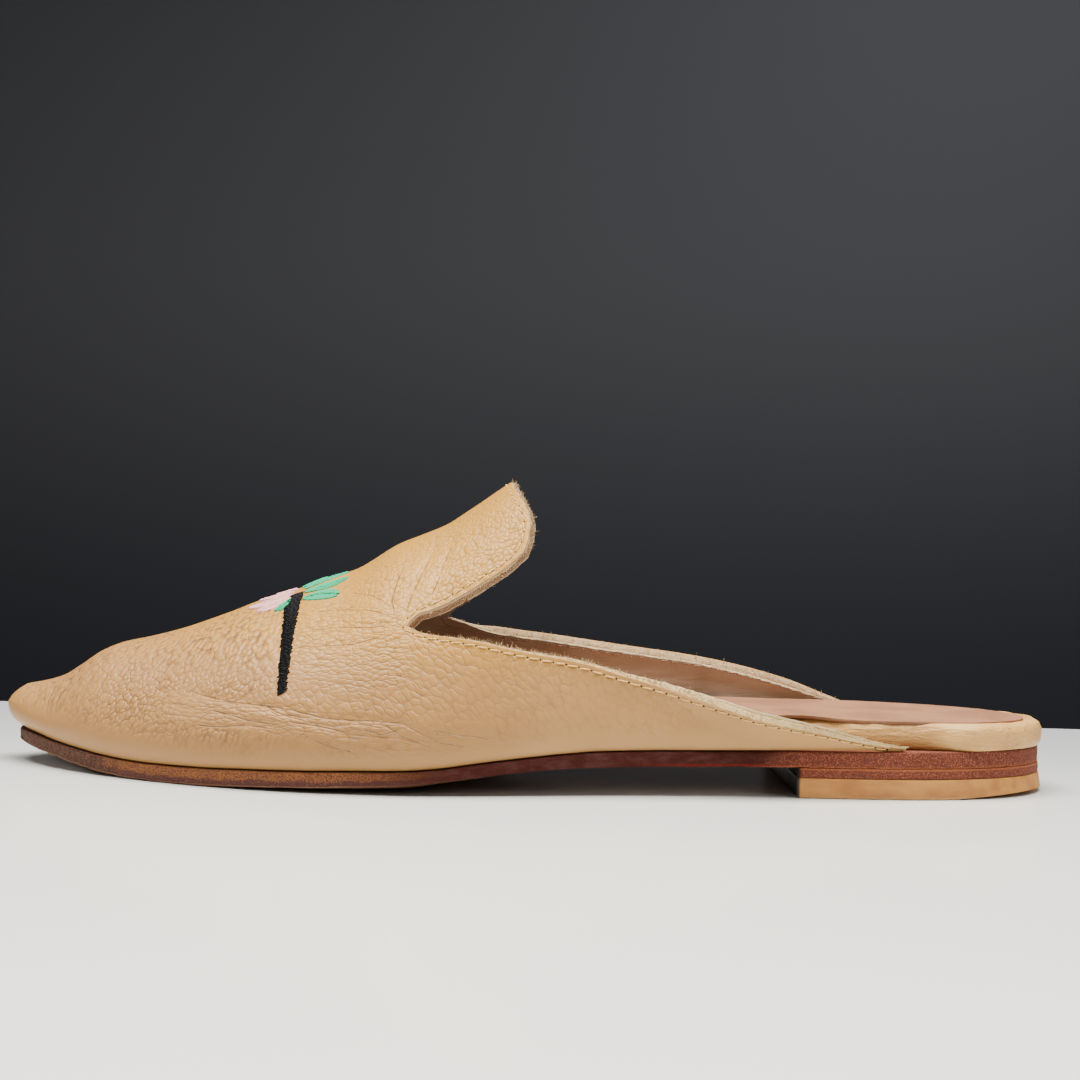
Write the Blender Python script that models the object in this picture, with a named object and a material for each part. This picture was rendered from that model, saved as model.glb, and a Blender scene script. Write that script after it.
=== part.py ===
"""A backless leather mule for the left foot: a flat slip-on with a raised tab over the instep.

The toe points to -X, the outer (lateral) side faces -Y and the shoe stands on z = 0, with its
origin under the middle of its box. A station is a distance back from a line just ahead of the
toe. Tables and named sizes are in millimetres and degrees; only place() turns them into metres.
"""

import math

import bmesh
import bpy
import numpy as np

# Driving dimensions, in millimetres.
GAP = 0.3
SOLE_TIP = 4.0
SOLE_REAR = 262.0
MIDDLE_STATION = 132.0
MIDDLE_OFFSET = -0.4

WALL = 2.3
FEATHER_INSET = 1.0
BELLY_HEIGHT = 9.0
BELLY_SHARE = 0.42
NOSE_REACH = 10.0
LATERAL_NOTCH = 105.7
MEDIAL_NOTCH = 111.4
LATERAL_NOTCH_TURN = 37.3
MEDIAL_NOTCH_TURN = 34.6
TAB_CORNER = 132.6
TAB_CORNER_TURN = 44.2
ROLL_ZONE = 6.0
BACKWARD_START = 60.0

HEEL_BREAST = 198.0
LIFT_BOTTOM = 4.9
HEEL_FLARE = 1.5
FLARE_RUN = (218.0, 254.0)
LIFT_FLARE = (0.3, 0.55)
HEEL_WEAR_RISE = 1.3
HEEL_WEAR_RUN = 13.0
HEEL_WEAR_HEADING = 35.0
HEEL_WEAR_CORNER = (261.5, -10.0)

RAND_OVERHANG = 1.7
RAND_RUN = (1.0, 20.0)
SOCK_THICKNESS = 0.9
SOCK_MARGIN = 4.4
SOCK_RUN = (150.0, 200.0)
SOCK_REAR_RUN = (225.0, 245.0)
SEAT_CROWN = 0.9
CROWN_RUN = (150.0, 215.0)
CROWN_DEPTH = (2.5, 12.5)

DEEP_INSET = 4.0
TOE_SHARE = 0.3
TOE_RUN = (12.0, 60.0)

PLAN_STEPS = 240
OUTLINE_STEPS = 44
HEEL_STEPS = 16
BODY_ROWS = 24
TOE_CROWDING = 1.55
WING_ROWS = 22
TAB_ROWS = 7
SIDE_COLUMNS = 6
TOP_COLUMNS = 7

LATERAL = -1
MEDIAL = 1


class Table:
    """Named columns read between their rows with a cubic that keeps level stretches level."""

    def __init__(self, names, rows, spread=None):
        self.spread = spread or (lambda value: value)
        self.keys = np.array([self.spread(row[0]) for row in rows], float)
        self.columns = {name: np.array([row[i] for row in rows], float)
                        for i, name in enumerate(names)}
        self.slopes = {name: self.find_slopes(values) for name, values in self.columns.items()}

    def find_slopes(self, values):
        """Slope at each row: the harmonic mean of its two steps, or level where they turn."""
        steps = np.diff(values) / np.diff(self.keys)
        slopes = np.zeros(len(values))
        slopes[0] = steps[0]
        slopes[-1] = steps[-1]
        for i in range(1, len(values) - 1):
            before, after = steps[i - 1], steps[i]
            if before * after > 0:
                slopes[i] = 2 * before * after / (before + after)
        return slopes

    def at(self, name, value):
        """The named column's value at a key between the first row's and the last one's."""
        key = min(max(self.spread(value), self.keys[0]), self.keys[-1])
        i = min(max(int(np.searchsorted(self.keys, key)) - 1, 0), len(self.keys) - 2)
        span = self.keys[i + 1] - self.keys[i]
        t = (key - self.keys[i]) / span
        values, slopes = self.columns[name], self.slopes[name]
        return float(
            (1 + 2 * t) * (1 - t) ** 2 * values[i]
            + t * (1 - t) ** 2 * span * slopes[i]
            + t * t * (3 - 2 * t) * values[i + 1]
            + t * t * (t - 1) * span * slopes[i + 1]
        )


def along_sole(station):
    """Angle of a station on a half circle over the sole, which rounds both ends of the plan."""
    share = (station - SOLE_TIP) / (SOLE_REAR - SOLE_TIP)
    return math.acos(1 - 2 * min(max(share, 0.0), 1.0))


# Plan of the outsole: distance of its outer and inner edges from the shoe's middle line.
PLAN = Table(("station", "lateral", "medial"), (
    (SOLE_TIP, 5.0, 5.0),
    (10.0, -6.0, 15.2),
    (20.0, -14.3, 22.6),
    (30.0, -21.0, 27.4),
    (45.0, -28.6, 33.0),
    (60.0, -34.4, 36.9),
    (75.0, -38.2, 39.0),
    (90.0, -40.2, 39.5),
    (105.0, -40.6, 37.6),
    (120.0, -39.0, 33.2),
    (135.0, -36.5, 28.6),
    (150.0, -33.8, 25.4),
    (165.0, -31.6, 24.0),
    (180.0, -30.0, 24.6),
    (200.0, -28.4, 26.2),
    (215.0, -28.0, 27.2),
    (225.0, -27.0, 26.8),
    (233.0, -25.3, 25.2),
    (240.0, -22.9, 22.8),
    (246.0, -20.2, 20.0),
    (251.0, -17.2, 17.0),
    (256.0, -13.2, 13.0),
    (260.0, -7.8, 7.6),
    (SOLE_REAR, 0.0, 0.0),
), along_sole)

# Side view of the outsole, the rise of its worn edges, and the insole's thickness on top of it.
SOLE = Table(("station", "bottom", "edge_rise", "top", "insole"), (
    (4.0, 5.3, 0.1, 8.3, 2.4),
    (10.0, 4.2, 0.1, 7.8, 2.6),
    (17.0, 3.0, 0.1, 6.6, 2.8),
    (25.0, 1.6, 0.1, 5.5, 2.9),
    (32.0, 0.7, 0.1, 4.7, 3.0),
    (39.0, 0.2, 0.1, 4.2, 3.0),
    (45.0, 0.0, 0.1, 4.0, 3.0),
    (58.0, 0.0, 0.2, 4.1, 3.1),
    (67.0, 0.0, 0.55, 4.35, 3.2),
    (84.0, 0.0, 1.15, 4.8, 3.5),
    (93.0, 0.1, 1.5, 5.1, 3.8),
    (106.0, 0.7, 1.6, 5.45, 4.3),
    (115.0, 2.0, 1.4, 6.2, 4.8),
    (122.0, 3.1, 1.1, 7.2, 5.3),
    (129.0, 4.15, 0.9, 8.1, 5.8),
    (136.0, 5.1, 0.7, 8.9, 6.3),
    (143.0, 5.8, 0.5, 9.6, 6.7),
    (151.0, 6.3, 0.3, 10.2, 7.0),
    (162.0, 6.8, 0.1, 10.5, 7.2),
    (180.0, 7.0, 0.0, 10.7, 7.2),
    (200.0, 7.2, 0.0, 11.0, 7.0),
    (220.0, 7.3, 0.0, 11.3, 6.6),
    (235.0, 7.3, 0.0, 11.4, 6.3),
    (262.0, 7.3, 0.0, 11.4, 6.2),
))

# The last: height and offset of the ridge over the foot, and the bulge of the sides.
LAST = Table(("station", "ridge", "offset", "belly"), (
    (5.0, 18.8, 5.0, 0.0),
    (10.8, 20.1, 5.1, 1.0),
    (14.9, 21.6, 5.2, 1.5),
    (19.8, 24.9, 5.4, 1.9),
    (24.6, 28.3, 5.6, 2.2),
    (29.7, 30.4, 5.8, 2.3),
    (36.3, 31.9, 6.0, 2.4),
    (44.0, 34.0, 6.3, 2.4),
    (56.3, 38.7, 7.0, 2.4),
    (64.1, 42.0, 7.4, 2.4),
    (73.1, 44.9, 7.8, 2.4),
    (80.9, 48.0, 8.0, 2.4),
    (88.6, 50.6, 7.8, 2.4),
    (99.7, 57.4, 7.2, 2.3),
    (106.0, 60.0, 6.8, 2.2),
    (111.9, 62.6, 6.4, 2.1),
    (117.7, 66.6, 6.0, 2.0),
    (128.5, 74.2, 5.0, 1.9),
    (140.0, 81.0, 4.0, 1.8),
    (170.0, 88.0, 1.0, 1.7),
    (210.0, 90.0, 0.0, 1.4),
    (236.0, 90.0, 0.0, 0.8),
))

# How far the nose reaches ahead of its foot, by the share of its own height.
NOSE = Table(("share", "forward"), (
    (0.0, 0.0),
    (0.2, 3.1),
    (0.4, 4.2),
    (0.55, 4.4),
    (0.7, 3.7),
    (0.85, 2.2),
    (1.0, 0.0),
))

# The wings: height of the cut edge above the floor, and how far it rolls towards -Y.
WINGS = {
    LATERAL: Table(("station", "edge", "roll"), (
        (LATERAL_NOTCH, 38.6, 0.0),
        (109.0, 37.4, 0.0),
        (121.3, 35.9, 0.0),
        (130.5, 34.1, 0.0),
        (146.9, 31.3, 4.0),
        (155.9, 28.7, 10.0),
        (165.0, 26.2, 20.0),
        (177.0, 22.2, 36.0),
        (189.4, 18.3, 46.0),
        (201.5, 16.0, 50.0),
        (213.5, 13.6, 50.0),
        (219.0, 12.6, 50.0),
        (224.0, 12.1, 48.0),
    )),
    MEDIAL: Table(("station", "edge", "roll"), (
        (MEDIAL_NOTCH, 38.2, 4.0),
        (122.2, 35.4, 8.0),
        (141.8, 33.3, 12.0),
        (161.4, 31.0, 16.0),
        (175.0, 29.4, 19.0),
        (187.2, 27.3, 22.0),
        (201.7, 23.7, 25.0),
        (214.0, 19.4, 25.0),
        (224.0, 15.8, 24.0),
        (234.0, 12.4, 20.0),
    )),
}
WING_END = {LATERAL: 224.0, MEDIAL: 234.0}
NOTCH = {LATERAL: LATERAL_NOTCH, MEDIAL: MEDIAL_NOTCH}
NOTCH_TURN = {LATERAL: LATERAL_NOTCH_TURN, MEDIAL: MEDIAL_NOTCH_TURN}

# The tab: turn of its side edge by station, and station of its rear edge by turn.
TAB_SIDE = Table(("station", "turn"), (
    (LATERAL_NOTCH, LATERAL_NOTCH_TURN),
    (108.3, 39.6),
    (115.7, 39.9),
    (123.4, 40.8),
    (128.5, 41.9),
    (TAB_CORNER, TAB_CORNER_TURN),
))
TAB_REAR = Table(("turn", "station"), (
    (TAB_CORNER_TURN, TAB_CORNER),
    (47.5, 133.6),
    (52.0, 133.9),
    (60.0, 132.5),
    (68.0, 130.6),
    (79.0, 129.0),
    (90.0, 128.5),
    (101.0, 129.0),
))

# Edge profiles of the flat pieces, bottom to top: inset from the plan and share of the thickness.
SOLE_UNDER = ((9.0, 0.0), (4.5, 0.35), (0.5, 1.0))
SOLE_SIDE = ((0.0, 0.14), (0.0, 0.9), (0.35, 1.0))
RAND_SIDE = ((0.9, 0.0), (0.2, 0.12), (0.0, 0.4), (0.15, 0.66), (0.7, 0.85), (1.8, 0.96), (3.2, 1.0))
RAND_TOP = (8.5, 13.5)
SOCK_SIDE = ((0.3, 0.0), (0.0, 0.5), (0.3, 1.0))
SOCK_FACE = (5.0, 10.0)


def ease(value, start, end):
    """A smooth step from 0 at start to 1 at end."""
    t = min(max((value - start) / (end - start), 0.0), 1.0)
    return t * t * (3 - 2 * t)


def place(station, y, z):
    """A point of the shoe in metres, in the part's own frame."""
    return ((station - MIDDLE_STATION) / 1000, (y - MIDDLE_OFFSET) / 1000, z / 1000)


def make_material(name, colour, roughness):
    """A plain non-metal finish."""
    material = bpy.data.materials.new(name)
    material.use_nodes = True
    shader = material.node_tree.nodes["Principled BSDF"]
    shader.inputs["Base Color"].default_value = (*colour, 1.0)
    shader.inputs["Roughness"].default_value = roughness
    shader.inputs["Metallic"].default_value = 0.0
    return material


def add_object(name, mesh_builder, material):
    """Close a bmesh into one named object with outward faces and smooth shading."""
    bmesh.ops.recalc_face_normals(mesh_builder, faces=mesh_builder.faces)
    bmesh.ops.triangulate(mesh_builder, faces=mesh_builder.faces)
    mesh = bpy.data.meshes.new(name)
    mesh_builder.to_mesh(mesh)
    mesh_builder.free()
    mesh.materials.append(material)
    mesh.shade_smooth()
    mesh.set_sharp_from_angle(angle=math.radians(35))
    item = bpy.data.objects.new(name, mesh)
    bpy.context.scene.collection.objects.link(item)
    return item


def plan_loop(stations, pointed_front):
    """Plan points from front to rear along the outer side and back along the inner one."""
    side_stations = stations[1:-1] if pointed_front else stations[:-1]
    outer = [(s, PLAN.at("lateral", s)) for s in side_stations]
    inner = [(s, PLAN.at("medial", s)) for s in side_stations]
    front = [(stations[0], PLAN.at("lateral", stations[0]))] if pointed_front else []
    rear = [(stations[-1], PLAN.at("lateral", stations[-1]))]
    return front + outer + rear + inner[::-1]


def move_loop(loop, inset, pointed_front):
    """Move each plan point inwards by inset(station, y), square to the loop.

    A straight front keeps its two corners at their own station. Each point comes back with the
    inset it was given.
    """
    moved = []
    count = len(loop)
    for i, (s, y) in enumerate(loop):
        before, after = loop[i - 1], loop[(i + 1) % count]
        ds, dy = after[0] - before[0], after[1] - before[1]
        amount = inset(s, y)
        if not pointed_front and i in (0, count - 1):
            moved.append((s, y - math.copysign(amount, y), amount))
            continue
        length = math.hypot(ds, dy)
        moved.append((s - dy / length * amount, y + ds / length * amount, amount))
    return moved


def cap_plate(shape, layer, pointed_front):
    """Fill a ring of vertices with strips that run from its outer side to its inner one."""
    lateral, medial = 0, len(layer) - 1
    if pointed_front:
        shape.faces.new((layer[0], layer[1], layer[medial]))
        lateral = 1
    while medial - lateral > 2:
        shape.faces.new((layer[lateral], layer[lateral + 1], layer[medial - 1], layer[medial]))
        lateral += 1
        medial -= 1
    shape.faces.new((layer[lateral], layer[lateral + 1], layer[medial]))


def build_plate(loop, rings, pointed_front):
    """A flat piece from rings of (inset function, height function), listed bottom to top."""
    shape = bmesh.new()
    count = len(loop)
    layers = []
    for inset, height in rings:
        points = move_loop(loop, inset, pointed_front)
        layers.append([shape.verts.new(place(s, y, height(s, amount))) for s, y, amount in points])
    for low, high in zip(layers, layers[1:]):
        for i in range(count):
            j = (i + 1) % count
            shape.faces.new((low[i], low[j], high[j], high[i]))
    cap_plate(shape, layers[0], pointed_front)
    cap_plate(shape, layers[-1], pointed_front)
    return shape


def make_ring(inset, share, shift, bottom, top):
    """One ring of a plate: its inset added to the plate's own shift, its share of the height."""
    def ring_inset(s, y):
        return inset * deepen(s, inset) + shift(s, y)

    def ring_height(s, depth):
        low, high = bottom(s, depth), top(s, depth)
        return low + share * (high - low)
    return ring_inset, ring_height


def deepen(s, inset):
    """Share of a deep inset kept at a station, because the narrow toe has no room for it."""
    return 1.0 if inset < DEEP_INSET else TOE_SHARE + (1 - TOE_SHARE) * ease(s, *TOE_RUN)


def make_rings(profile, shift, bottom, top):
    """Rings of a plate from a profile of (inset, share of the height) pairs."""
    return [make_ring(inset, share, shift, bottom, top) for inset, share in profile]


def sole_stations():
    """Stations along the whole sole, close together at its two round ends."""
    middle = (SOLE_TIP + SOLE_REAR) / 2
    reach = (SOLE_REAR - SOLE_TIP) / 2
    return [middle - reach * math.cos(math.pi * i / OUTLINE_STEPS) for i in range(OUTLINE_STEPS + 1)]


def heel_stations():
    """Stations from the heel's straight breast to its round rear."""
    reach = SOLE_REAR - HEEL_BREAST
    return [HEEL_BREAST + reach * math.sin(math.pi / 2 * i / HEEL_STEPS) for i in range(HEEL_STEPS + 1)]


def no_shift(s, y):
    return 0.0


def flare_shift(share):
    """Outward shift of the heel's sides and back, where share runs from 0 on top to 1 below."""
    return lambda s, y: -HEEL_FLARE * share * ease(s, *FLARE_RUN)


def sole_bottom(s, depth):
    return SOLE.at("bottom", s)


def sole_edge_bottom(s, depth):
    return SOLE.at("bottom", s) + SOLE.at("edge_rise", s)


def sole_top(s, depth):
    return SOLE.at("top", s)


def insole_bottom(s, depth):
    return sole_top(s, depth) + GAP


def insole_top(s, depth):
    """The insole's upper face, crowned at the seat so that its border falls away."""
    fall = SEAT_CROWN * ease(s, *CROWN_RUN) * (1 - ease(depth, *CROWN_DEPTH))
    return insole_bottom(s, depth) + SOLE.at("insole", s) - fall


def insole_shift(s, y):
    """Inset of the insole: inside the upper's wall, and out over the sole at the open heel."""
    inside = FEATHER_INSET + WALL + 2 * GAP
    wing_end = WING_END[LATERAL] if y < 0 else WING_END[MEDIAL]
    bare = ease(s - wing_end, *RAND_RUN)
    return inside * (1 - bare) - RAND_OVERHANG * bare


def sock_bottom(s, depth):
    return insole_top(s, depth) + GAP


def sock_top(s, depth):
    return sock_bottom(s, depth) + SOCK_THICKNESS


def sock_shift(s, y):
    """Inset of the sock: a wider margin where the insole's wrapped edge shows."""
    inside = FEATHER_INSET + WALL + 3 * GAP
    bare = ease(s, *SOCK_RUN)
    return inside * (1 - bare) + SOCK_MARGIN * bare - RAND_OVERHANG * ease(s, *SOCK_REAR_RUN)


def add_outsole(material):
    loop = plan_loop(sole_stations(), True)
    rings = make_rings(SOLE_UNDER, no_shift, sole_bottom, sole_edge_bottom)
    rings += make_rings(SOLE_SIDE, no_shift, sole_edge_bottom, sole_top)
    return add_object("outsole", build_plate(loop, rings, True), material)


def add_insole(material):
    loop = plan_loop(sole_stations(), True)
    profile = RAND_SIDE + tuple((inset, 1.0) for inset in RAND_TOP)
    rings = make_rings(profile, insole_shift, insole_bottom, insole_top)
    return add_object("insole", build_plate(loop, rings, True), material)


def add_sock(material):
    loop = plan_loop(sole_stations(), True)
    under = tuple((inset, 0.0) for inset in reversed(SOCK_FACE))
    over = tuple((inset, 1.0) for inset in SOCK_FACE)
    rings = make_rings(under + SOCK_SIDE + over, sock_shift, sock_bottom, sock_top)
    return add_object("sock", build_plate(loop, rings, True), material)


def add_heel_lift(material):
    def bottom(s, depth):
        return LIFT_BOTTOM

    def top(s, depth):
        return sole_bottom(s, depth) - GAP

    loop = plan_loop(heel_stations(), False)
    rings = make_rings(((0.0, 0.0),), flare_shift(LIFT_FLARE[1]), bottom, top)
    rings += make_rings(((0.0, 1.0),), flare_shift(LIFT_FLARE[0]), bottom, top)
    return add_object("heel_lift", build_plate(loop, rings, False), material)


def add_heel_top_piece(material):
    """The rubber top piece: it flares to the floor, and its rear outer corner is worn away."""
    def bottom(s, depth):
        return 0.0

    def top(s, depth):
        return LIFT_BOTTOM - GAP

    loop = plan_loop(heel_stations(), False)
    rings = make_rings(((0.4, 0.0), (0.0, 0.1)), flare_shift(1.0), bottom, top)
    rings += make_rings(((0.0, 1.0),), flare_shift(LIFT_FLARE[1]), bottom, top)
    shape = build_plate(loop, rings, False)
    heading = math.radians(HEEL_WEAR_HEADING)
    slope = HEEL_WEAR_RISE / HEEL_WEAR_RUN
    down = (slope * math.cos(heading), -slope * math.sin(heading), -1.0)
    cut = bmesh.ops.bisect_plane(
        shape, geom=shape.verts[:] + shape.edges[:] + shape.faces[:], dist=1e-7,
        plane_co=place(*HEEL_WEAR_CORNER, HEEL_WEAR_RISE), plane_no=down, clear_outer=True)
    rim = [item for item in cut["geom_cut"] if isinstance(item, bmesh.types.BMEdge)]
    bmesh.ops.holes_fill(shape, edges=[edge for edge in rim if edge.is_boundary])
    return add_object("heel_top_piece", shape, material)


def inset_plan(inset):
    """Stations and distances of both sole edges, moved inwards square to the plan."""
    reach = (SOLE_REAR - SOLE_TIP) / 2
    turns = [math.pi * i / PLAN_STEPS for i in range(PLAN_STEPS + 1)]
    stations = [SOLE_TIP + reach * (1 - math.cos(turn)) for turn in turns]
    loop = [(s, y) for s, y, _ in move_loop(plan_loop(stations, True), lambda s, y: inset, True)]
    lateral = loop[:PLAN_STEPS + 1]
    medial = loop[:1] + loop[:PLAN_STEPS - 1:-1]
    return {LATERAL: np.array(lateral).T, MEDIAL: np.array(medial).T}


FEATHER = inset_plan(FEATHER_INSET)


def skin(station, side, turn):
    """A point on the upper's outer face; turn runs from 0 at the sole to 90 at the ridge."""
    base = SOLE.at("top", station) + GAP
    offset = LAST.at("offset", station)
    rise, spread = math.sin(math.radians(turn)), math.cos(math.radians(turn))
    full = LAST.at("ridge", station) - base
    height = full * rise
    edge = float(np.interp(station, *FEATHER[side]))
    level = min(BELLY_HEIGHT, BELLY_SHARE * full)
    belly = LAST.at("belly", station) * height / level * math.exp(1 - height / level)
    behind = station - SOLE_TIP - FEATHER_INSET
    forward = NOSE.at("forward", rise) * math.exp(-behind / NOSE_REACH)
    y = offset + (edge - offset) * spread + side * belly * spread
    return (station - forward, y, base + height)


def edge_turn(station, side):
    """Turn at which a wing's cut edge lies."""
    base = SOLE.at("top", station) + GAP
    full = LAST.at("ridge", station) - base
    return math.degrees(math.asin((WINGS[side].at("edge", station) - base) / full))


def wing_point(station, side, share):
    """A point on a wing's outer face; share runs from 0 at the sole to 1 at the cut edge."""
    top_turn = edge_turn(station, side)
    s, y, z = skin(station, side, share * top_turn)
    base = SOLE.at("top", station) + GAP
    full = WINGS[side].at("edge", station) - base
    zone = min(ROLL_ZONE, full)
    past = max(0.0, (z - base) - (full - zone)) / zone
    roll = math.tan(math.radians(WINGS[side].at("roll", station)))
    return (s, y - roll * zone * past * past / 2, z)


def tab_point(row, column, side):
    """A point on the tab; row 0 lies across the notches, column 0 on its side edge."""
    v, w = row / TAB_ROWS, column / TOP_COLUMNS
    side_turn = TAB_SIDE.at("turn", LATERAL_NOTCH + v * (TAB_CORNER - LATERAL_NOTCH))
    side_turn += (NOTCH_TURN[side] - LATERAL_NOTCH_TURN) * (1 - v)
    turn = side_turn + (90 - side_turn) * w
    rear_turn = TAB_CORNER_TURN + (90 - TAB_CORNER_TURN) * w
    front = LATERAL_NOTCH + (NOTCH[side] - LATERAL_NOTCH) * (1 - w)
    station = front + v * (TAB_REAR.at("station", rear_turn) - front)
    return skin(station, side, turn)


def body_stations():
    """Stations of the closed part of the vamp, close together at the toe."""
    first = SOLE_TIP + FEATHER_INSET
    reach = LATERAL_NOTCH - first
    return [first + reach * (i / BODY_ROWS) ** TOE_CROWDING for i in range(BODY_ROWS + 1)]


def body_point(station, column):
    """A point on the closed vamp; columns run from the outer feather to the inner one."""
    last = 2 * (SIDE_COLUMNS + TOP_COLUMNS)
    side = LATERAL if column <= last // 2 else MEDIAL
    step = min(column, last - column)
    back = ease(station, BACKWARD_START, LATERAL_NOTCH)
    notch_turn = LATERAL_NOTCH_TURN + (NOTCH_TURN[side] - LATERAL_NOTCH_TURN) * back
    if step <= SIDE_COLUMNS:
        turn = notch_turn * step / SIDE_COLUMNS
        reach = 1.0
    else:
        w = (step - SIDE_COLUMNS) / TOP_COLUMNS
        turn = notch_turn + (90 - notch_turn) * w
        reach = 1 - w
    return skin(station + (NOTCH[side] - LATERAL_NOTCH) * back * reach, side, turn)


def build_upper_sheet(shape):
    """The outer face as one grid that splits into two wings and the tab behind the notches.

    Returns the grid by (area, row, column) and its rim as a closed loop of keys.
    """
    last = 2 * (SIDE_COLUMNS + TOP_COLUMNS)
    low, high = SIDE_COLUMNS, last - SIDE_COLUMNS
    grid = {}
    for row, station in enumerate(body_stations()):
        for column in range(last + 1):
            if row == 0 and column > last // 2:
                grid["body", row, column] = grid["body", row, last - column]
                continue
            grid["body", row, column] = shape.verts.new(place(*body_point(station, column)))
    for side, area, columns in ((LATERAL, "lateral", range(low + 1)),
                                (MEDIAL, "medial", range(high, last + 1))):
        for column in columns:
            grid[area, 0, column] = grid["body", BODY_ROWS, column]
            step = min(column, last - column)
            for row in range(1, WING_ROWS + 1):
                station = NOTCH[side] + (WING_END[side] - NOTCH[side]) * row / WING_ROWS
                point = wing_point(station, side, step / SIDE_COLUMNS)
                grid[area, row, column] = shape.verts.new(place(*point))
    for column in range(low, high + 1):
        grid["tab", 0, column] = grid["body", BODY_ROWS, column]
        side = LATERAL if column <= last // 2 else MEDIAL
        step = min(column, last - column) - SIDE_COLUMNS
        for row in range(1, TAB_ROWS + 1):
            grid["tab", row, column] = shape.verts.new(place(*tab_point(row, step, side)))
    areas = (("body", BODY_ROWS, 0, last), ("lateral", WING_ROWS, 0, low),
             ("medial", WING_ROWS, high, last), ("tab", TAB_ROWS, low, high))
    for area, rows, start, end in areas:
        for row in range(rows):
            for column in range(start, end):
                shape.faces.new((grid[area, row, column], grid[area, row + 1, column],
                                 grid[area, row + 1, column + 1], grid[area, row, column + 1]))
    rim = [("body", row, 0) for row in range(BODY_ROWS + 1)]
    rim += [("lateral", row, 0) for row in range(1, WING_ROWS + 1)]
    rim += [("lateral", WING_ROWS, column) for column in range(1, low + 1)]
    rim += [("lateral", row, low) for row in range(WING_ROWS - 1, -1, -1)]
    rim += [("tab", row, low) for row in range(1, TAB_ROWS + 1)]
    rim += [("tab", TAB_ROWS, column) for column in range(low + 1, high + 1)]
    rim += [("tab", row, high) for row in range(TAB_ROWS - 1, -1, -1)]
    rim += [("medial", row, high) for row in range(1, WING_ROWS + 1)]
    rim += [("medial", WING_ROWS, column) for column in range(high + 1, last + 1)]
    rim += [("medial", row, last) for row in range(WING_ROWS - 1, -1, -1)]
    rim += [("body", row, last) for row in range(BODY_ROWS - 1, 0, -1)]
    return grid, rim


def add_upper(material):
    """The upper: its outer face, the same face moved in by the wall, and the cut rim between."""
    shape = bmesh.new()
    grid, rim = build_upper_sheet(shape)
    shape.normal_update()
    outer = list(dict.fromkeys(grid.values()))
    wall = WALL / 1000
    inner = {}
    for vertex in outer:
        inner[vertex] = shape.verts.new(vertex.co - vertex.normal * wall)
    last = 2 * (SIDE_COLUMNS + TOP_COLUMNS)
    for key, vertex in grid.items():
        if key[2] in (0, last):
            level = vertex.normal.copy()
            level.z = 0
            inner[vertex].co = vertex.co - level.normalized() * wall
    for face in list(shape.faces):
        shape.faces.new([inner[vertex] for vertex in reversed(face.verts)])
    for i, key in enumerate(rim):
        here, there = grid[key], grid[rim[(i + 1) % len(rim)]]
        shape.faces.new((here, there, inner[there], inner[here]))
    return add_object("upper", shape, material)


def main():
    for item in list(bpy.data.objects):
        bpy.data.objects.remove(item, do_unlink=True)
    sole_leather = make_material("sole_leather", (0.18, 0.07, 0.045), 0.55)
    rubber = make_material("rubber", (0.53, 0.30, 0.13), 0.45)
    camel_leather = make_material("camel_leather", (0.60, 0.40, 0.23), 0.5)
    rand_leather = make_material("rand_leather", (0.52, 0.36, 0.22), 0.5)
    lining_leather = make_material("lining_leather", (0.50, 0.32, 0.23), 0.6)
    add_outsole(sole_leather)
    add_heel_lift(sole_leather)
    add_heel_top_piece(rubber)
    add_insole(rand_leather)
    add_sock(lining_leather)
    add_upper(camel_leather)


main()
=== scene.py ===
"""The looks of a backless leather mule for the left foot.

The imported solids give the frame. Each visible part is made again over its solid at a finer
step: the leather upper with its flex creases, cut edge, stitches and embroidery, the worn
leather sole, the stacked heel, the wrapped insole and the sock. Sizes are in millimetres and
degrees, and a station is a distance back from a line just ahead of the toe.
"""

import logging
import math
from dataclasses import dataclass, field
from enum import Enum
from typing import Callable, ClassVar

import bpy
import numpy as np
from bpy.types import Material, Mesh, MeshEdge, NodeSocket, Object
from mathutils import Matrix, Vector, noise
from mathutils.bvhtree import BVHTree
from mathutils.kdtree import KDTree


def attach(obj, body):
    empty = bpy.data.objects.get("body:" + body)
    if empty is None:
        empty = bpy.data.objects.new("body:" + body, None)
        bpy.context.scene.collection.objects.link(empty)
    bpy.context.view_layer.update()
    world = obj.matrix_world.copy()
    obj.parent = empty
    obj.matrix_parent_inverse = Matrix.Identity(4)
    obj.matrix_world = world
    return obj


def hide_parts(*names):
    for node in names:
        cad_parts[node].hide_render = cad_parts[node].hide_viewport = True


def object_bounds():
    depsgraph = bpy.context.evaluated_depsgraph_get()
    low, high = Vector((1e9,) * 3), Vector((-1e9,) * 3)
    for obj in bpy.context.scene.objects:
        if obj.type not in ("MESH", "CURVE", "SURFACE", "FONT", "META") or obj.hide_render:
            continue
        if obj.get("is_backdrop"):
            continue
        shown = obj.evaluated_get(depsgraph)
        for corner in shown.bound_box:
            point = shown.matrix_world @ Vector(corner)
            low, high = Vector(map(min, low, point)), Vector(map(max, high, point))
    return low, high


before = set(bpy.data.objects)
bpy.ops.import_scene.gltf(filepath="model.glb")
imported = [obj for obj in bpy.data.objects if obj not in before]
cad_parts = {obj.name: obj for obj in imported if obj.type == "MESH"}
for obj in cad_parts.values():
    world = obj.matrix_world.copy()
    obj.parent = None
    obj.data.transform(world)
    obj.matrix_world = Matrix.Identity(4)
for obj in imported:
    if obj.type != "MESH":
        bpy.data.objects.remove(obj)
CAD_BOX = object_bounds()
LOG = logging.getLogger("mule")
MM = 0.001
MIDDLE_STATION = 132.0
MIDDLE_OFFSET = -0.4
GAP = 0.3
TINY = 1e-9
# Vertices within this many metres of each other are joined.
WELD = 2e-6
LINING_SLOT = 1
RIM_SLOT = 2
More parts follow.
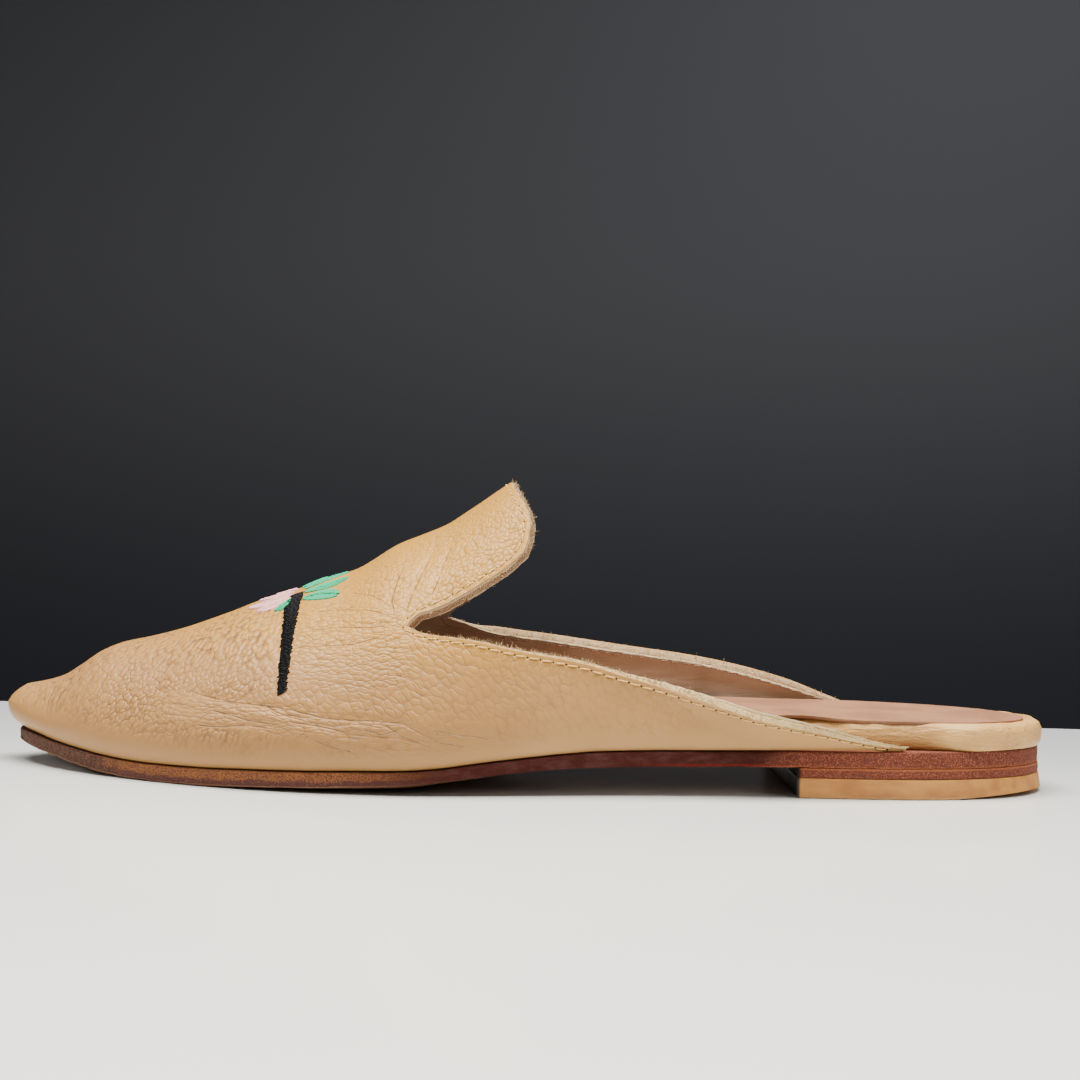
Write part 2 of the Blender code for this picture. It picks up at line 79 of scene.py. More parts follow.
# Where the leather ends and the lining starts in the cut edge, as a share of the wall.
LAYER_JOINT = 0.73
# Painted shade on the heel's front face, for the shadow under the waist, starts between these, in
# millimetres behind the shoe's middle.
BREAST_SHADE_STEP = (67.0, 66.3)
Array = np.ndarray
Colour = tuple[float, float, float]


class Side(Enum):
    """The two sides of the shoe, as the sign of their Y."""

    LATERAL = -1
    MEDIAL = 1


def ease(value: Array | float, start: float, end: float) -> Array:
    """A smooth step from 0 at start to 1 at end."""
    t = np.clip((np.asarray(value, float) - start) / (end - start), 0.0, 1.0)
    return t * t * (3 - 2 * t)


def to_frame(points: Array) -> Array:
    """Points given as (station, y, z) in millimetres, in the part's own frame in metres."""
    return (np.asarray(points, float) - (MIDDLE_STATION, MIDDLE_OFFSET, 0.0)) * MM


def from_frame(points: Array) -> Array:
    """Points of the part's own frame in metres, as (station, y, z) in millimetres."""
    return np.asarray(points, float) / MM + (MIDDLE_STATION, MIDDLE_OFFSET, 0.0)


def unit(rows: Array) -> Array:
    """Rows brought to a length of 1."""
    return rows / np.maximum(np.linalg.norm(rows, axis=-1, keepdims=True), TINY)


def run_length(path: Array) -> float:
    """Length of a chain of straight runs."""
    return float(np.linalg.norm(np.diff(path, axis=0), axis=1).sum())


class Table:
    """Named columns read between their rows with a cubic that keeps level stretches level."""

    def __init__(self, names: tuple[str, ...], rows: tuple, spread: Callable | None = None) -> None:
        """Keep the rows and work out the slope of each column at each row.

        Args:
            names: The columns' names, of which the first is the key.
            rows: One tuple of numbers for each row, with rising keys.
            spread: What the key is turned into before reading, where the table needs it.
        """
        self.spread = spread or (lambda value: np.asarray(value, float))
        self.keys = self.spread(np.array([row[0] for row in rows], float))
        self.columns = {name: np.array([row[i] for row in rows], float) for i, name in enumerate(names)}
        self.slopes = {name: self._slopes(values) for name, values in self.columns.items()}

    def _slopes(self, values: Array) -> Array:
        """Slope at each row: the harmonic mean of its two steps, or level where they turn."""
        steps = np.diff(values) / np.diff(self.keys)
        slopes = np.zeros(len(values))
        slopes[0], slopes[-1] = steps[0], steps[-1]
        for i in range(1, len(values) - 1):
            before, after = steps[i - 1], steps[i]
            if before * after > 0:
                slopes[i] = 2 * before * after / (before + after)
        return slopes

    def at(self, name: str, value: Array | float) -> Array:
        """The named column at each key, held level past both ends.

        Args:
            name: The column.
            value: The keys to read it at.

        Returns:
            One number for each key.
        """
        key = np.clip(self.spread(value), self.keys[0], self.keys[-1])
        i = np.clip(np.searchsorted(self.keys, key) - 1, 0, len(self.keys) - 2)
        span = self.keys[i + 1] - self.keys[i]
        t = (key - self.keys[i]) / span
        values, slopes = self.columns[name], self.slopes[name]
        return (
            (1 + 2 * t) * (1 - t) ** 2 * values[i]
            + t * (1 - t) ** 2 * span * slopes[i]
            + t * t * (3 - 2 * t) * values[i + 1]
            + t * t * (t - 1) * span * slopes[i + 1]
        )


SOLE_TIP = 4.0
SOLE_REAR = 262.0


def along_sole(station: Array | float) -> Array:
    """Angle of a station on a half circle over the sole, which rounds both ends of the plan."""
    share = (np.asarray(station, float) - SOLE_TIP) / (SOLE_REAR - SOLE_TIP)
    return np.arccos(1 - 2 * np.clip(share, 0.0, 1.0))


# Plan of the outsole: the Y of its outer and inner edges.
PLAN = Table(("station", "lateral", "medial"), (
    (SOLE_TIP, 5, 5), (10, -6, 15.2), (20, -14.3, 22.6), (30, -21, 27.4),
    (45, -28.6, 33), (60, -34.4, 36.9), (75, -38.2, 39), (90, -40.2, 39.5),
    (105, -40.6, 37.6), (120, -39, 33.2), (135, -36.5, 28.6), (150, -33.8, 25.4),
    (165, -31.6, 24), (180, -30, 24.6), (200, -28.4, 26.2), (215, -28, 27.2),
    (225, -27, 26.8), (233, -25.3, 25.2), (240, -22.9, 22.8), (246, -20.2, 20),
    (251, -17.2, 17), (256, -13.2, 13), (260, -7.8, 7.6), (SOLE_REAR, 0, 0),
), along_sole)

# Side view of the outsole, the rise of its worn edges, and the insole's thickness on top of it.
SOLE = Table(("station", "bottom", "edge_rise", "top", "insole"), (
    (4, 5.3, 0.1, 8.3, 2.4), (10, 4.2, 0.1, 7.8, 2.6), (17, 3, 0.1, 6.6, 2.8),
    (25, 1.6, 0.1, 5.5, 2.9), (32, 0.7, 0.1, 4.7, 3), (39, 0.2, 0.1, 4.2, 3),
    (45, 0, 0.1, 4, 3), (58, 0, 0.2, 4.1, 3.1), (67, 0, 0.55, 4.35, 3.2),
    (84, 0, 1.15, 4.8, 3.5), (93, 0.1, 1.5, 5.1, 3.8), (106, 0.7, 1.6, 5.45, 4.3),
    (115, 2, 1.4, 6.2, 4.8), (122, 3.1, 1.1, 7.2, 5.3), (129, 4.15, 0.9, 8.1, 5.8),
    (136, 5.1, 0.7, 8.9, 6.3), (143, 5.8, 0.5, 9.6, 6.7), (151, 6.3, 0.3, 10.2, 7),
    (162, 6.8, 0.1, 10.5, 7.2), (180, 7, 0, 10.7, 7.2), (200, 7.2, 0, 11, 7),
    (220, 7.3, 0, 11.3, 6.6), (235, 7.3, 0, 11.4, 6.3), (262, 7.3, 0, 11.4, 6.2),
))

# The last: height and offset of the ridge over the foot, and the bulge of the sides.
LAST = Table(("station", "ridge", "offset", "belly"), (
    (5, 18.8, 5, 0), (10.8, 20.1, 5.1, 1), (14.9, 21.6, 5.2, 1.5), (19.8, 24.9, 5.4, 1.9),
    (24.6, 28.3, 5.6, 2.2), (29.7, 30.4, 5.8, 2.3), (36.3, 31.9, 6, 2.4), (44, 34, 6.3, 2.4),
    (56.3, 38.7, 7, 2.4), (64.1, 42, 7.4, 2.4), (73.1, 44.9, 7.8, 2.4), (80.9, 48, 8, 2.4),
    (88.6, 50.6, 7.8, 2.4), (99.7, 57.4, 7.2, 2.3), (106, 60, 6.8, 2.2), (111.9, 62.6, 6.4, 2.1),
    (117.7, 66.6, 6, 2), (128.5, 74.2, 5, 1.9), (140, 81, 4, 1.8), (170, 88, 1, 1.7),
    (210, 90, 0, 1.4), (236, 90, 0, 0.8),
))

# How far the nose reaches ahead of its foot, by the share of its own height.
NOSE = Table(("share", "forward"), (
    (0, 0), (0.2, 3.1), (0.4, 4.2), (0.55, 4.4), (0.7, 3.7), (0.85, 2.2), (1, 0),
))

# The wings: height of the cut edge above the floor, and how far it rolls towards -Y.
WINGS = {
    Side.LATERAL: Table(("station", "edge", "roll"), (
        (105.7, 38.6, 0), (109, 37.4, 0), (121.3, 35.9, 0), (130.5, 34.1, 0),
        (146.9, 31.3, 4), (155.9, 28.7, 10), (165, 26.2, 20), (177, 22.2, 36),
        (189.4, 18.3, 46), (201.5, 16, 50), (213.5, 13.6, 50), (219, 12.6, 50),
        (224, 12.1, 48),
    )),
    Side.MEDIAL: Table(("station", "edge", "roll"), (
        (111.4, 38.2, 4), (122.2, 35.4, 8), (141.8, 33.3, 12), (161.4, 31, 16),
        (175, 29.4, 19), (187.2, 27.3, 22), (201.7, 23.7, 25), (214, 19.4, 25),
        (224, 15.8, 24), (234, 12.4, 20),
    )),
}
WING_END = {Side.LATERAL: 224.0, Side.MEDIAL: 234.0}
NOTCH = {Side.LATERAL: 105.7, Side.MEDIAL: 111.4}
NOTCH_TURN = {Side.LATERAL: 37.3, Side.MEDIAL: 34.6}
TAB_CORNER = 132.6
TAB_CORNER_TURN = 44.2

# The tab: turn of its side edge by station, and station of its rear edge by turn.
TAB_SIDE = Table(("station", "turn"), (
    (105.7, 37.3), (108.3, 39.6), (115.7, 39.9), (123.4, 40.8), (128.5, 41.9),
    (TAB_CORNER, TAB_CORNER_TURN),
))
TAB_REAR = Table(("turn", "station"), (
    (TAB_CORNER_TURN, TAB_CORNER), (47.5, 133.6), (52, 133.9), (60, 132.5), (68, 130.6),
    (79, 129), (90, 128.5), (101, 129),
))


def plan_loop(steps: int) -> Array:
    """Plan points of the whole sole, along the outer side to the rear and back inside.

    Args:
        steps: Steps along each side, which come close together at the two round ends.

    Returns:
        A closed loop of (station, y) rows, with the tip first.
    """
    turns = np.pi * np.arange(steps + 1) / steps
    stations = SOLE_TIP + (SOLE_REAR - SOLE_TIP) * (1 - np.cos(turns)) / 2
    outer = np.stack([stations, PLAN.at("lateral", stations)], 1)
    inner = np.stack([stations, PLAN.at("medial", stations)], 1)
    return np.vstack([outer, inner[-2:0:-1]])


def move_loop(loop: Array, inset: Array | float) -> Array:
    """A closed plan loop moved inwards, square to itself, by inset at each point."""
    step = np.roll(loop, -1, 0) - np.roll(loop, 1, 0)
    length = np.maximum(np.hypot(step[:, 0], step[:, 1]), TINY)
    inwards = np.stack([-step[:, 1], step[:, 0]], 1) / length[:, None]
    return loop + inwards * np.broadcast_to(inset, len(loop))[:, None]


@dataclass(frozen=True)
class LastShape:
    """The surface that the upper follows, and the edges that its pattern is cut to."""

    feather_inset: float = 1.0
    belly_height: float = 9.0
    belly_share: float = 0.42
    nose_reach: float = 10.0
    roll_zone: float = 6.0
    backward_start: float = 60.0
    toe_crowding: float = 1.55
    feather: dict = field(default_factory=dict)

    def __post_init__(self) -> None:
        """Work out the line where the upper meets the sole."""
        steps = 400
        loop = move_loop(plan_loop(steps), self.feather_inset)
        self.feather[Side.LATERAL] = loop[:steps + 1]
        self.feather[Side.MEDIAL] = np.vstack([loop[:1], loop[:steps - 1:-1]])

    def base(self, station: Array) -> Array:
        """Height of the upper's lower edge above the ground."""
        return SOLE.at("top", station) + GAP

    def skin(self, station: Array, side: Side, turn: Array) -> Array:
        """Points on the upper's outer face.

        Args:
            station: Distance back from the toe line.
            side: The side of the ridge.
            turn: 0 at the sole to 90 at the ridge.

        Returns:
            (station, y, z) rows in the broadcast shape of station and turn.
        """
        station, turn = np.broadcast_arrays(np.asarray(station, float), np.asarray(turn, float))
        base = self.base(station)
        offset = LAST.at("offset", station)
        rise, spread = np.sin(np.radians(turn)), np.cos(np.radians(turn))
        full = LAST.at("ridge", station) - base
        height = full * rise
        line = self.feather[side]
        edge = np.interp(station, line[:, 0], line[:, 1])
        level = np.minimum(self.belly_height, self.belly_share * full)
        belly = LAST.at("belly", station) * height / level * np.exp(1 - height / level)
        behind = station - SOLE_TIP - self.feather_inset
        forward = NOSE.at("forward", rise) * np.exp(-behind / self.nose_reach)
        y = offset + (edge - offset) * spread + side.value * belly * spread
        return np.stack([station - forward, y, base + height], -1)

    def turn_at(self, station: Array, height: Array) -> Array:
        """Turn of the points of the outer face that lie at a height above the ground."""
        base = self.base(station)
        full = LAST.at("ridge", station) - base
        return np.degrees(np.arcsin(np.clip((height - base) / full, 0.0, 1.0)))

    def wing(self, station: Array, side: Side, share: Array) -> Array:
        """Points on a wing's outer face, where share runs from 0 at the sole to 1 at the cut edge."""
        edge = WINGS[side].at("edge", station)
        points = self.skin(station, side, share * self.turn_at(station, edge))
        full = edge - self.base(station)
        zone = np.minimum(self.roll_zone, full)
        past = np.maximum(0.0, points[..., 2] - self.base(station) - (full - zone)) / zone
        roll = np.tan(np.radians(WINGS[side].at("roll", station)))
        points[..., 1] -= roll * zone * past * past / 2
        return points

    def tab(self, v: Array, w: Array, side: Side) -> Array:
        """Points on half of the tab: v runs back from the notches, w from its side to the ridge."""
        front_notch = NOTCH[Side.LATERAL]
        side_turn = TAB_SIDE.at("turn", front_notch + v * (TAB_CORNER - front_notch))
        side_turn = side_turn + (NOTCH_TURN[side] - NOTCH_TURN[Side.LATERAL]) * (1 - v)
        turn = side_turn + (90 - side_turn) * w
        rear_turn = TAB_CORNER_TURN + (90 - TAB_CORNER_TURN) * w
        front = front_notch + (NOTCH[side] - front_notch) * (1 - w)
        station = front + v * (TAB_REAR.at("station", rear_turn) - front)
        return self.skin(station, side, turn)

    def body(self, v: Array, w: Array, side: Side) -> Array:
        """Points on half of the closed vamp: v runs back from the toe, w from 0 at the sole.

        Args:
            v: 0 at the toe to 1 at the notches.
            w: 0 at the sole, 1 at the notch's own height and 2 at the ridge.
            side: The half.

        Returns:
            (station, y, z) rows.
        """
        first = SOLE_TIP + self.feather_inset
        station = first + (NOTCH[Side.LATERAL] - first) * v ** self.toe_crowding
        back = ease(station, self.backward_start, NOTCH[Side.LATERAL])
        notch_turn = NOTCH_TURN[Side.LATERAL] + (NOTCH_TURN[side] - NOTCH_TURN[Side.LATERAL]) * back
        turn = np.where(w <= 1, notch_turn * w, notch_turn + (90 - notch_turn) * (w - 1))
        reach = np.clip(2 - w, 0.0, 1.0)
        return self.skin(station + (NOTCH[side] - NOTCH[Side.LATERAL]) * back * reach, side, turn)


def new_object(name: str, vertices: Array, faces: list, materials: list) -> Object:
    """A mesh object at the origin, smooth shaded.

    Args:
        name: The piece's name.
        vertices: (station, y, z) rows in millimetres.
        faces: Vertex numbers of each face.
        materials: The materials of its slots.
    """
    mesh = bpy.data.meshes.new(name)
    mesh.from_pydata(to_frame(vertices).tolist(), [], faces)
    for material in materials:
        mesh.materials.append(material)
    mesh.shade_smooth()
    item = bpy.data.objects.new(name, mesh)
    bpy.context.scene.collection.objects.link(item)
    return item


def pick_only(item: Object) -> None:
    """Make this object the only selected one, and the active one."""
    bpy.ops.object.select_all(action="DESELECT")
    item.select_set(True)
    bpy.context.view_layer.objects.active = item


def set_attribute(mesh: Mesh, name: str, values: Array) -> None:
    """Store one number for each vertex under a name that a material can read."""
    attribute = mesh.attributes.get(name) or mesh.attributes.new(name, "FLOAT", "POINT")
    attribute.data.foreach_set("value", np.asarray(values, np.float32).ravel())


def set_pairs(mesh: Mesh, name: str, first: Array, second: Array) -> None:
    """Store two numbers for each vertex, as a vector's X and Y."""
    attribute = mesh.attributes.new(name, "FLOAT_VECTOR", "POINT")
    rows = np.stack([first, second, np.zeros(len(first))], 1)
    attribute.data.foreach_set("vector", rows.astype(np.float32).ravel())


def get_attribute(mesh: Mesh, name: str) -> Array:
    """The numbers stored for each vertex under a name."""
    values = np.zeros(len(mesh.vertices), np.float32)
    mesh.attributes[name].data.foreach_get("value", values)
    return values.astype(float)


def get_points(mesh: Mesh) -> Array:
    """The mesh's vertices as (station, y, z) rows in millimetres."""
    values = np.zeros(len(mesh.vertices) * 3, np.float32)
    mesh.vertices.foreach_get("co", values)
    return from_frame(values.reshape(-1, 3))


def set_points(mesh: Mesh, points: Array) -> None:
    """Move the mesh's vertices to (station, y, z) rows in millimetres."""
    mesh.vertices.foreach_set("co", to_frame(points).astype(np.float32).ravel())
    mesh.update()


def get_normals(mesh: Mesh) -> Array:
    """The mesh's vertex normals."""
    values = np.zeros(len(mesh.vertices) * 3, np.float32)
    mesh.vertex_normals.foreach_get("vector", values)
    return values.reshape(-1, 3).astype(float)


def rough(points: Array, size: float, seed: float) -> Array:
    """Smooth random numbers of about -1 to 1, one for each point.

    Args:
        points: Rows in millimetres.
        size: Size of one lump in millimetres.
        seed: Shift of the pattern, so that two uses differ.
    """
    shift = Vector((seed, seed * 1.7, -seed))
    return np.array([noise.noise(Vector(point) / size + shift) for point in points])


def beside_path(points: Array, normals: Array, path: Array) -> tuple[Array, Array]:
    """Distance from each point of a face to a chain on it, with the sign of its side.

    Args:
        points: Rows of places on the face.
        normals: The face's normal at each.
        path: The chain's corners in order.

    Returns:
        The signed distances, and how far along the path the nearest place is, from 0 to 1.
    """
    best = np.full(len(points), np.inf)
    along = np.zeros(len(points))
    side = np.ones(len(points))
    lengths = np.linalg.norm(np.diff(path, axis=0), axis=1)
    starts = np.concatenate([[0.0], np.cumsum(lengths)])
    for i, (a, b) in enumerate(zip(path, path[1:])):
        run = b - a
        t = np.clip(((points - a) @ run) / max(float(run @ run), TINY), 0.0, 1.0)
        offset = points - (a + t[:, None] * run)
        distance = np.linalg.norm(offset, axis=1)
        nearer = distance < best
        best = np.where(nearer, distance, best)
        along = np.where(nearer, (starts[i] + t * lengths[i]) / starts[-1], along)
        turned = np.einsum("ij,ij->i", np.cross(normals, run), offset)
        side = np.where(nearer, np.where(turned < 0, -1.0, 1.0), side)
    return best * side, along


def resample(path: Array, pitch: float) -> Array:
    """Points along a chain at an even pitch, from its first point to its last."""
    lengths = np.linalg.norm(np.diff(path, axis=0), axis=1)
    places = np.concatenate([[0.0], np.cumsum(lengths)])
    count = max(2, int(round(places[-1] / pitch)) + 1)
    wanted = np.linspace(0.0, places[-1], count)
    return np.stack([np.interp(wanted, places, path[:, i]) for i in range(3)], 1)


def make_kd(points: Array) -> KDTree:
    """A tree for finding the nearest of some points."""
    tree = KDTree(len(points))
    for i, point in enumerate(points):
        tree.insert(point, i)
    tree.balance()
    return tree


def nearest(tree: KDTree, points: Array) -> tuple[Array, Array]:
    """The nearest place in a tree to each point, and how far away it is."""
    found = [tree.find(Vector(point)) for point in points]
    return np.array([tuple(place) for place, _, _ in found]), np.array([reach for _, _, reach in found])


def add_grid(name: str, points: Array) -> Object:
    """A grid primitive with a vertex for each row and column of points, moved to them."""
    rows, columns = points.shape[0] - 1, points.shape[1] - 1
    bpy.ops.object.select_all(action="DESELECT")
    bpy.ops.mesh.primitive_grid_add(x_subdivisions=rows, y_subdivisions=columns, size=1.0)
    grid = bpy.context.active_object
    grid.name = grid.data.name = name
    grid.location = (0.0, 0.0, 0.0)
    set_points(grid.data, points.transpose(1, 0, 2).reshape(-1, 3))
    return grid


def weld(outwards: bool) -> None:
    """Join the active object's vertices that coincide, and where asked turn its faces outwards."""
    bpy.ops.object.mode_set(mode="EDIT")
    bpy.ops.mesh.select_all(action="SELECT")
    bpy.ops.mesh.remove_doubles(threshold=WELD)
    if outwards:
        bpy.ops.mesh.normals_make_consistent(inside=False)
    bpy.ops.object.mode_set(mode="OBJECT")


def select_edges(mesh: Mesh, chosen: Callable[[MeshEdge], bool]) -> None:
    """Select only the active object's edges that are chosen, and leave it in edit mode."""
    bpy.ops.object.mode_set(mode="EDIT")
    bpy.ops.mesh.select_mode(type="EDGE")
    bpy.ops.mesh.select_all(action="DESELECT")
    bpy.ops.object.mode_set(mode="OBJECT")
    for edge in mesh.edges:
        edge.select = bool(chosen(edge))
    bpy.ops.object.mode_set(mode="EDIT")


class Signal:
    """A value that a material's nodes work out, which can be added to and multiplied."""

    def __init__(self, tree: "Tree", socket: NodeSocket) -> None:
        """Keep the value's socket and its tree."""
        self.tree = tree
        self.socket = socket

    def __add__(self, other: "Signal | float") -> "Signal":
        """The sum of two values."""
        return self.tree.calc("ADD", self, other)

    def __sub__(self, other: "Signal | float") -> "Signal":
        """The difference of two values."""
        return self.tree.calc("SUBTRACT", self, other)

    def __mul__(self, other: "Signal | float") -> "Signal":
        """The product of two values."""
        return self.tree.calc("MULTIPLY", self, other)

    def __abs__(self) -> "Signal":
        """The value without its sign."""
        return self.tree.calc("ABSOLUTE", self)

    __radd__ = __add__

    def axis(self, name: str) -> "Signal":
        """One coordinate of a vector."""
        return self.tree.node("SeparateXYZ", name, {0: self})

    def step(self, start: float, end: float, low: float = 0.0, high: float = 1.0) -> "Signal":
        """A smooth step of the value, from low at start to high at end."""
        limits = {"From Min": start, "From Max": end, "To Min": low, "To Max": high}
        return self.tree.node("MapRange", inputs={"Value": self, **limits}, interpolation_type="SMOOTHSTEP")


class Tree:
    """A material's nodes, added with one short call each."""

    def __init__(self, name: str) -> None:
        """Start an empty Principled material."""
        self.material = bpy.data.materials.new(name)
        self.material.use_nodes = True
        self.nodes = self.material.node_tree.nodes
        self.links = self.material.node_tree.links
        self.shader = self.nodes["Principled BSDF"]

    def put(self, socket: NodeSocket, value: object) -> None:
        """Link a socket to a value, or set it to a number, a colour or a vector."""
        if isinstance(value, Signal):
            self.links.new(value.socket, socket)
        elif socket.type == "RGBA":
            socket.default_value = (*value, 1.0)
        else:
            socket.default_value = value

    def node(self, kind: str, output: int | str = 0, inputs: dict | None = None,
             **options: object) -> Signal:
        """Add a node.

        Args:
            kind: Its type, without the "ShaderNode" that all types start with.
            output: The number or name of the output that is wanted.
            inputs: What each of its inputs is linked or set to, by number or name.
            options: Its own settings.

        Returns:
            The wanted output.
        """
        node = self.nodes.new(f"ShaderNode{kind}")
        for name, value in options.items():
            setattr(node, name, value)
        for name, value in (inputs or {}).items():
            self.put(node.inputs[name], value)
        return Signal(self, node.outputs[output])

    def surface(self, colour: Signal, roughness: Signal | float, specular: float,
                normal: Signal | None = None) -> Material:
        """Link or set the shader's own sockets, and give the material."""
        inputs = {"Base Color": colour, "Roughness": roughness, "Specular IOR Level": specular}
        if normal is not None:
            inputs["Normal"] = normal
        for name, value in inputs.items():
            self.put(self.shader.inputs[name], value)
        return self.material

    def place(self, scale: tuple = (1000, 1000, 1000)) -> Signal:
        """The place on the object in metres times a scale, which as a rule makes it millimetres."""
        return self.node("Mapping", inputs={"Vector": self.node("TexCoord", "Object"), "Scale": scale})

    def attribute(self, name: str, output: str = "Fac") -> Signal:
        """A number stored on the mesh, or with output "Vector" a vector."""
        return self.node("Attribute", output, attribute_name=name)

    def turned(self, vector: Signal, slope: float) -> Signal:
        """A vector turned in side view, so that a slope in degrees comes to lie along X."""
        inputs = {"Vector": vector, "Angle": math.radians(slope)}
        return self.node("VectorRotate", inputs=inputs, rotation_type="Y_AXIS")

    def stretched(self, vector: Signal, scale: tuple[float, float, float]) -> Signal:
        """A vector with each of its coordinates multiplied by its own number."""
        return self.node("VectorMath", inputs={0: vector, 1: scale}, operation="MULTIPLY")

    def swirled(self, vector: Signal, swirl: Signal, factor: float) -> Signal:
        """A vector plus factor times another."""
        scaled = self.node("VectorMath", inputs={0: swirl, "Scale": factor}, operation="SCALE")
        return self.node("VectorMath", inputs={0: vector, 1: scaled}, operation="ADD")

    def calc(self, operation: str, a: Signal | float, b: Signal | float = 0.0,
             clamp: bool = False) -> Signal:
        """What the named operation of a Math node makes of two numbers."""
        return self.node("Math", inputs={0: a, 1: b}, operation=operation, use_clamp=clamp)

    def noise(self, vector: Signal, size: float, detail: float = 3.0, roughness: float = 0.5,
              output: str = "Fac") -> Signal:
        """Cloudy noise with lumps of a size in millimetres, as a number or with output "Color" three."""
        inputs = {"Vector": vector, "Scale": 1.0 / size, "Detail": detail, "Roughness": roughness}
        return self.node("TexNoise", output, inputs)

    def cells(self, vector: Signal, feature: str) -> Signal:
        """Distance within a pattern of cells, of 1 across each."""
        return self.node("TexVoronoi", "Distance", {"Vector": vector, "Scale": 1.0}, feature=feature)

    def blend(self, factor: Signal, a: Signal, b: Signal) -> Signal:
        """A number between a and b."""
        return self.node("Mix", inputs={0: factor, 2: a, 3: b})

    def paint(self, base: Signal | Colour, *coats: tuple[Signal | float, Signal | Colour]) -> Signal:
        """A colour with others laid over it in turn, each as a pair of its cover and itself."""
        for cover, colour in coats:
            base = self.node("Mix", 2, {0: cover, 6: base, 7: colour}, data_type="RGBA")
        return base

    def bump(self, *layers: tuple[Signal, float]) -> Signal:
        """A normal from pairs of a height of 0 to 1 and the depth in millimetres that it stands for."""
        under = {}
        for height, depth in layers:
            inputs = {"Strength": 1.0, "Distance": depth * MM, "Height": height, **under}
            under = {"Normal": self.node("Bump", inputs=inputs)}
        return under["Normal"]


def linear(value: float) -> float:
    """A screen's level of 0 to 255, as linear light."""
    value /= 255
    return value / 12.92 if value <= 0.04045 else ((value + 0.055) / 1.055) ** 2.4


def shade(red: float, green: float, blue: float) -> Colour:
    """A colour given as 0 to 255 on a screen, as the linear light that a shader takes."""
    return linear(red), linear(green), linear(blue)


@dataclass(frozen=True)
class GrainPattern:
    """One pattern of milled grain, whose cells are drawn out along their own direction.

    Attributes:
        length: Size of a cell along its direction.
        width: Size of a cell across its direction.
        slope: The direction in side view, in degrees above level towards the heel.
        depth: Height of a cell's rounded top over the valleys.
        valley: Width of a sharper valley between the cells, as a share of a cell, or 0 for none.
    """

    length: float
    width: float
    slope: float
    depth: float
    valley: float = 0.0

    def height(self, tree: Tree, place: Signal) -> Signal:
        """The grain's height in millimetres, at or below 0: rounded cells with a narrow valley between."""
        turned = tree.turned(place, self.slope)
        cell = tree.stretched(turned, (1 / self.length, 0.8 / self.width, 1 / self.width))
        centre = tree.cells(cell, "F1")
        dome = centre * centre * (-1.3 * self.depth)
        if not self.valley:
            return dome
        return dome + tree.cells(cell, "DISTANCE_TO_EDGE").step(0, self.valley, -0.25 * self.depth, 0)


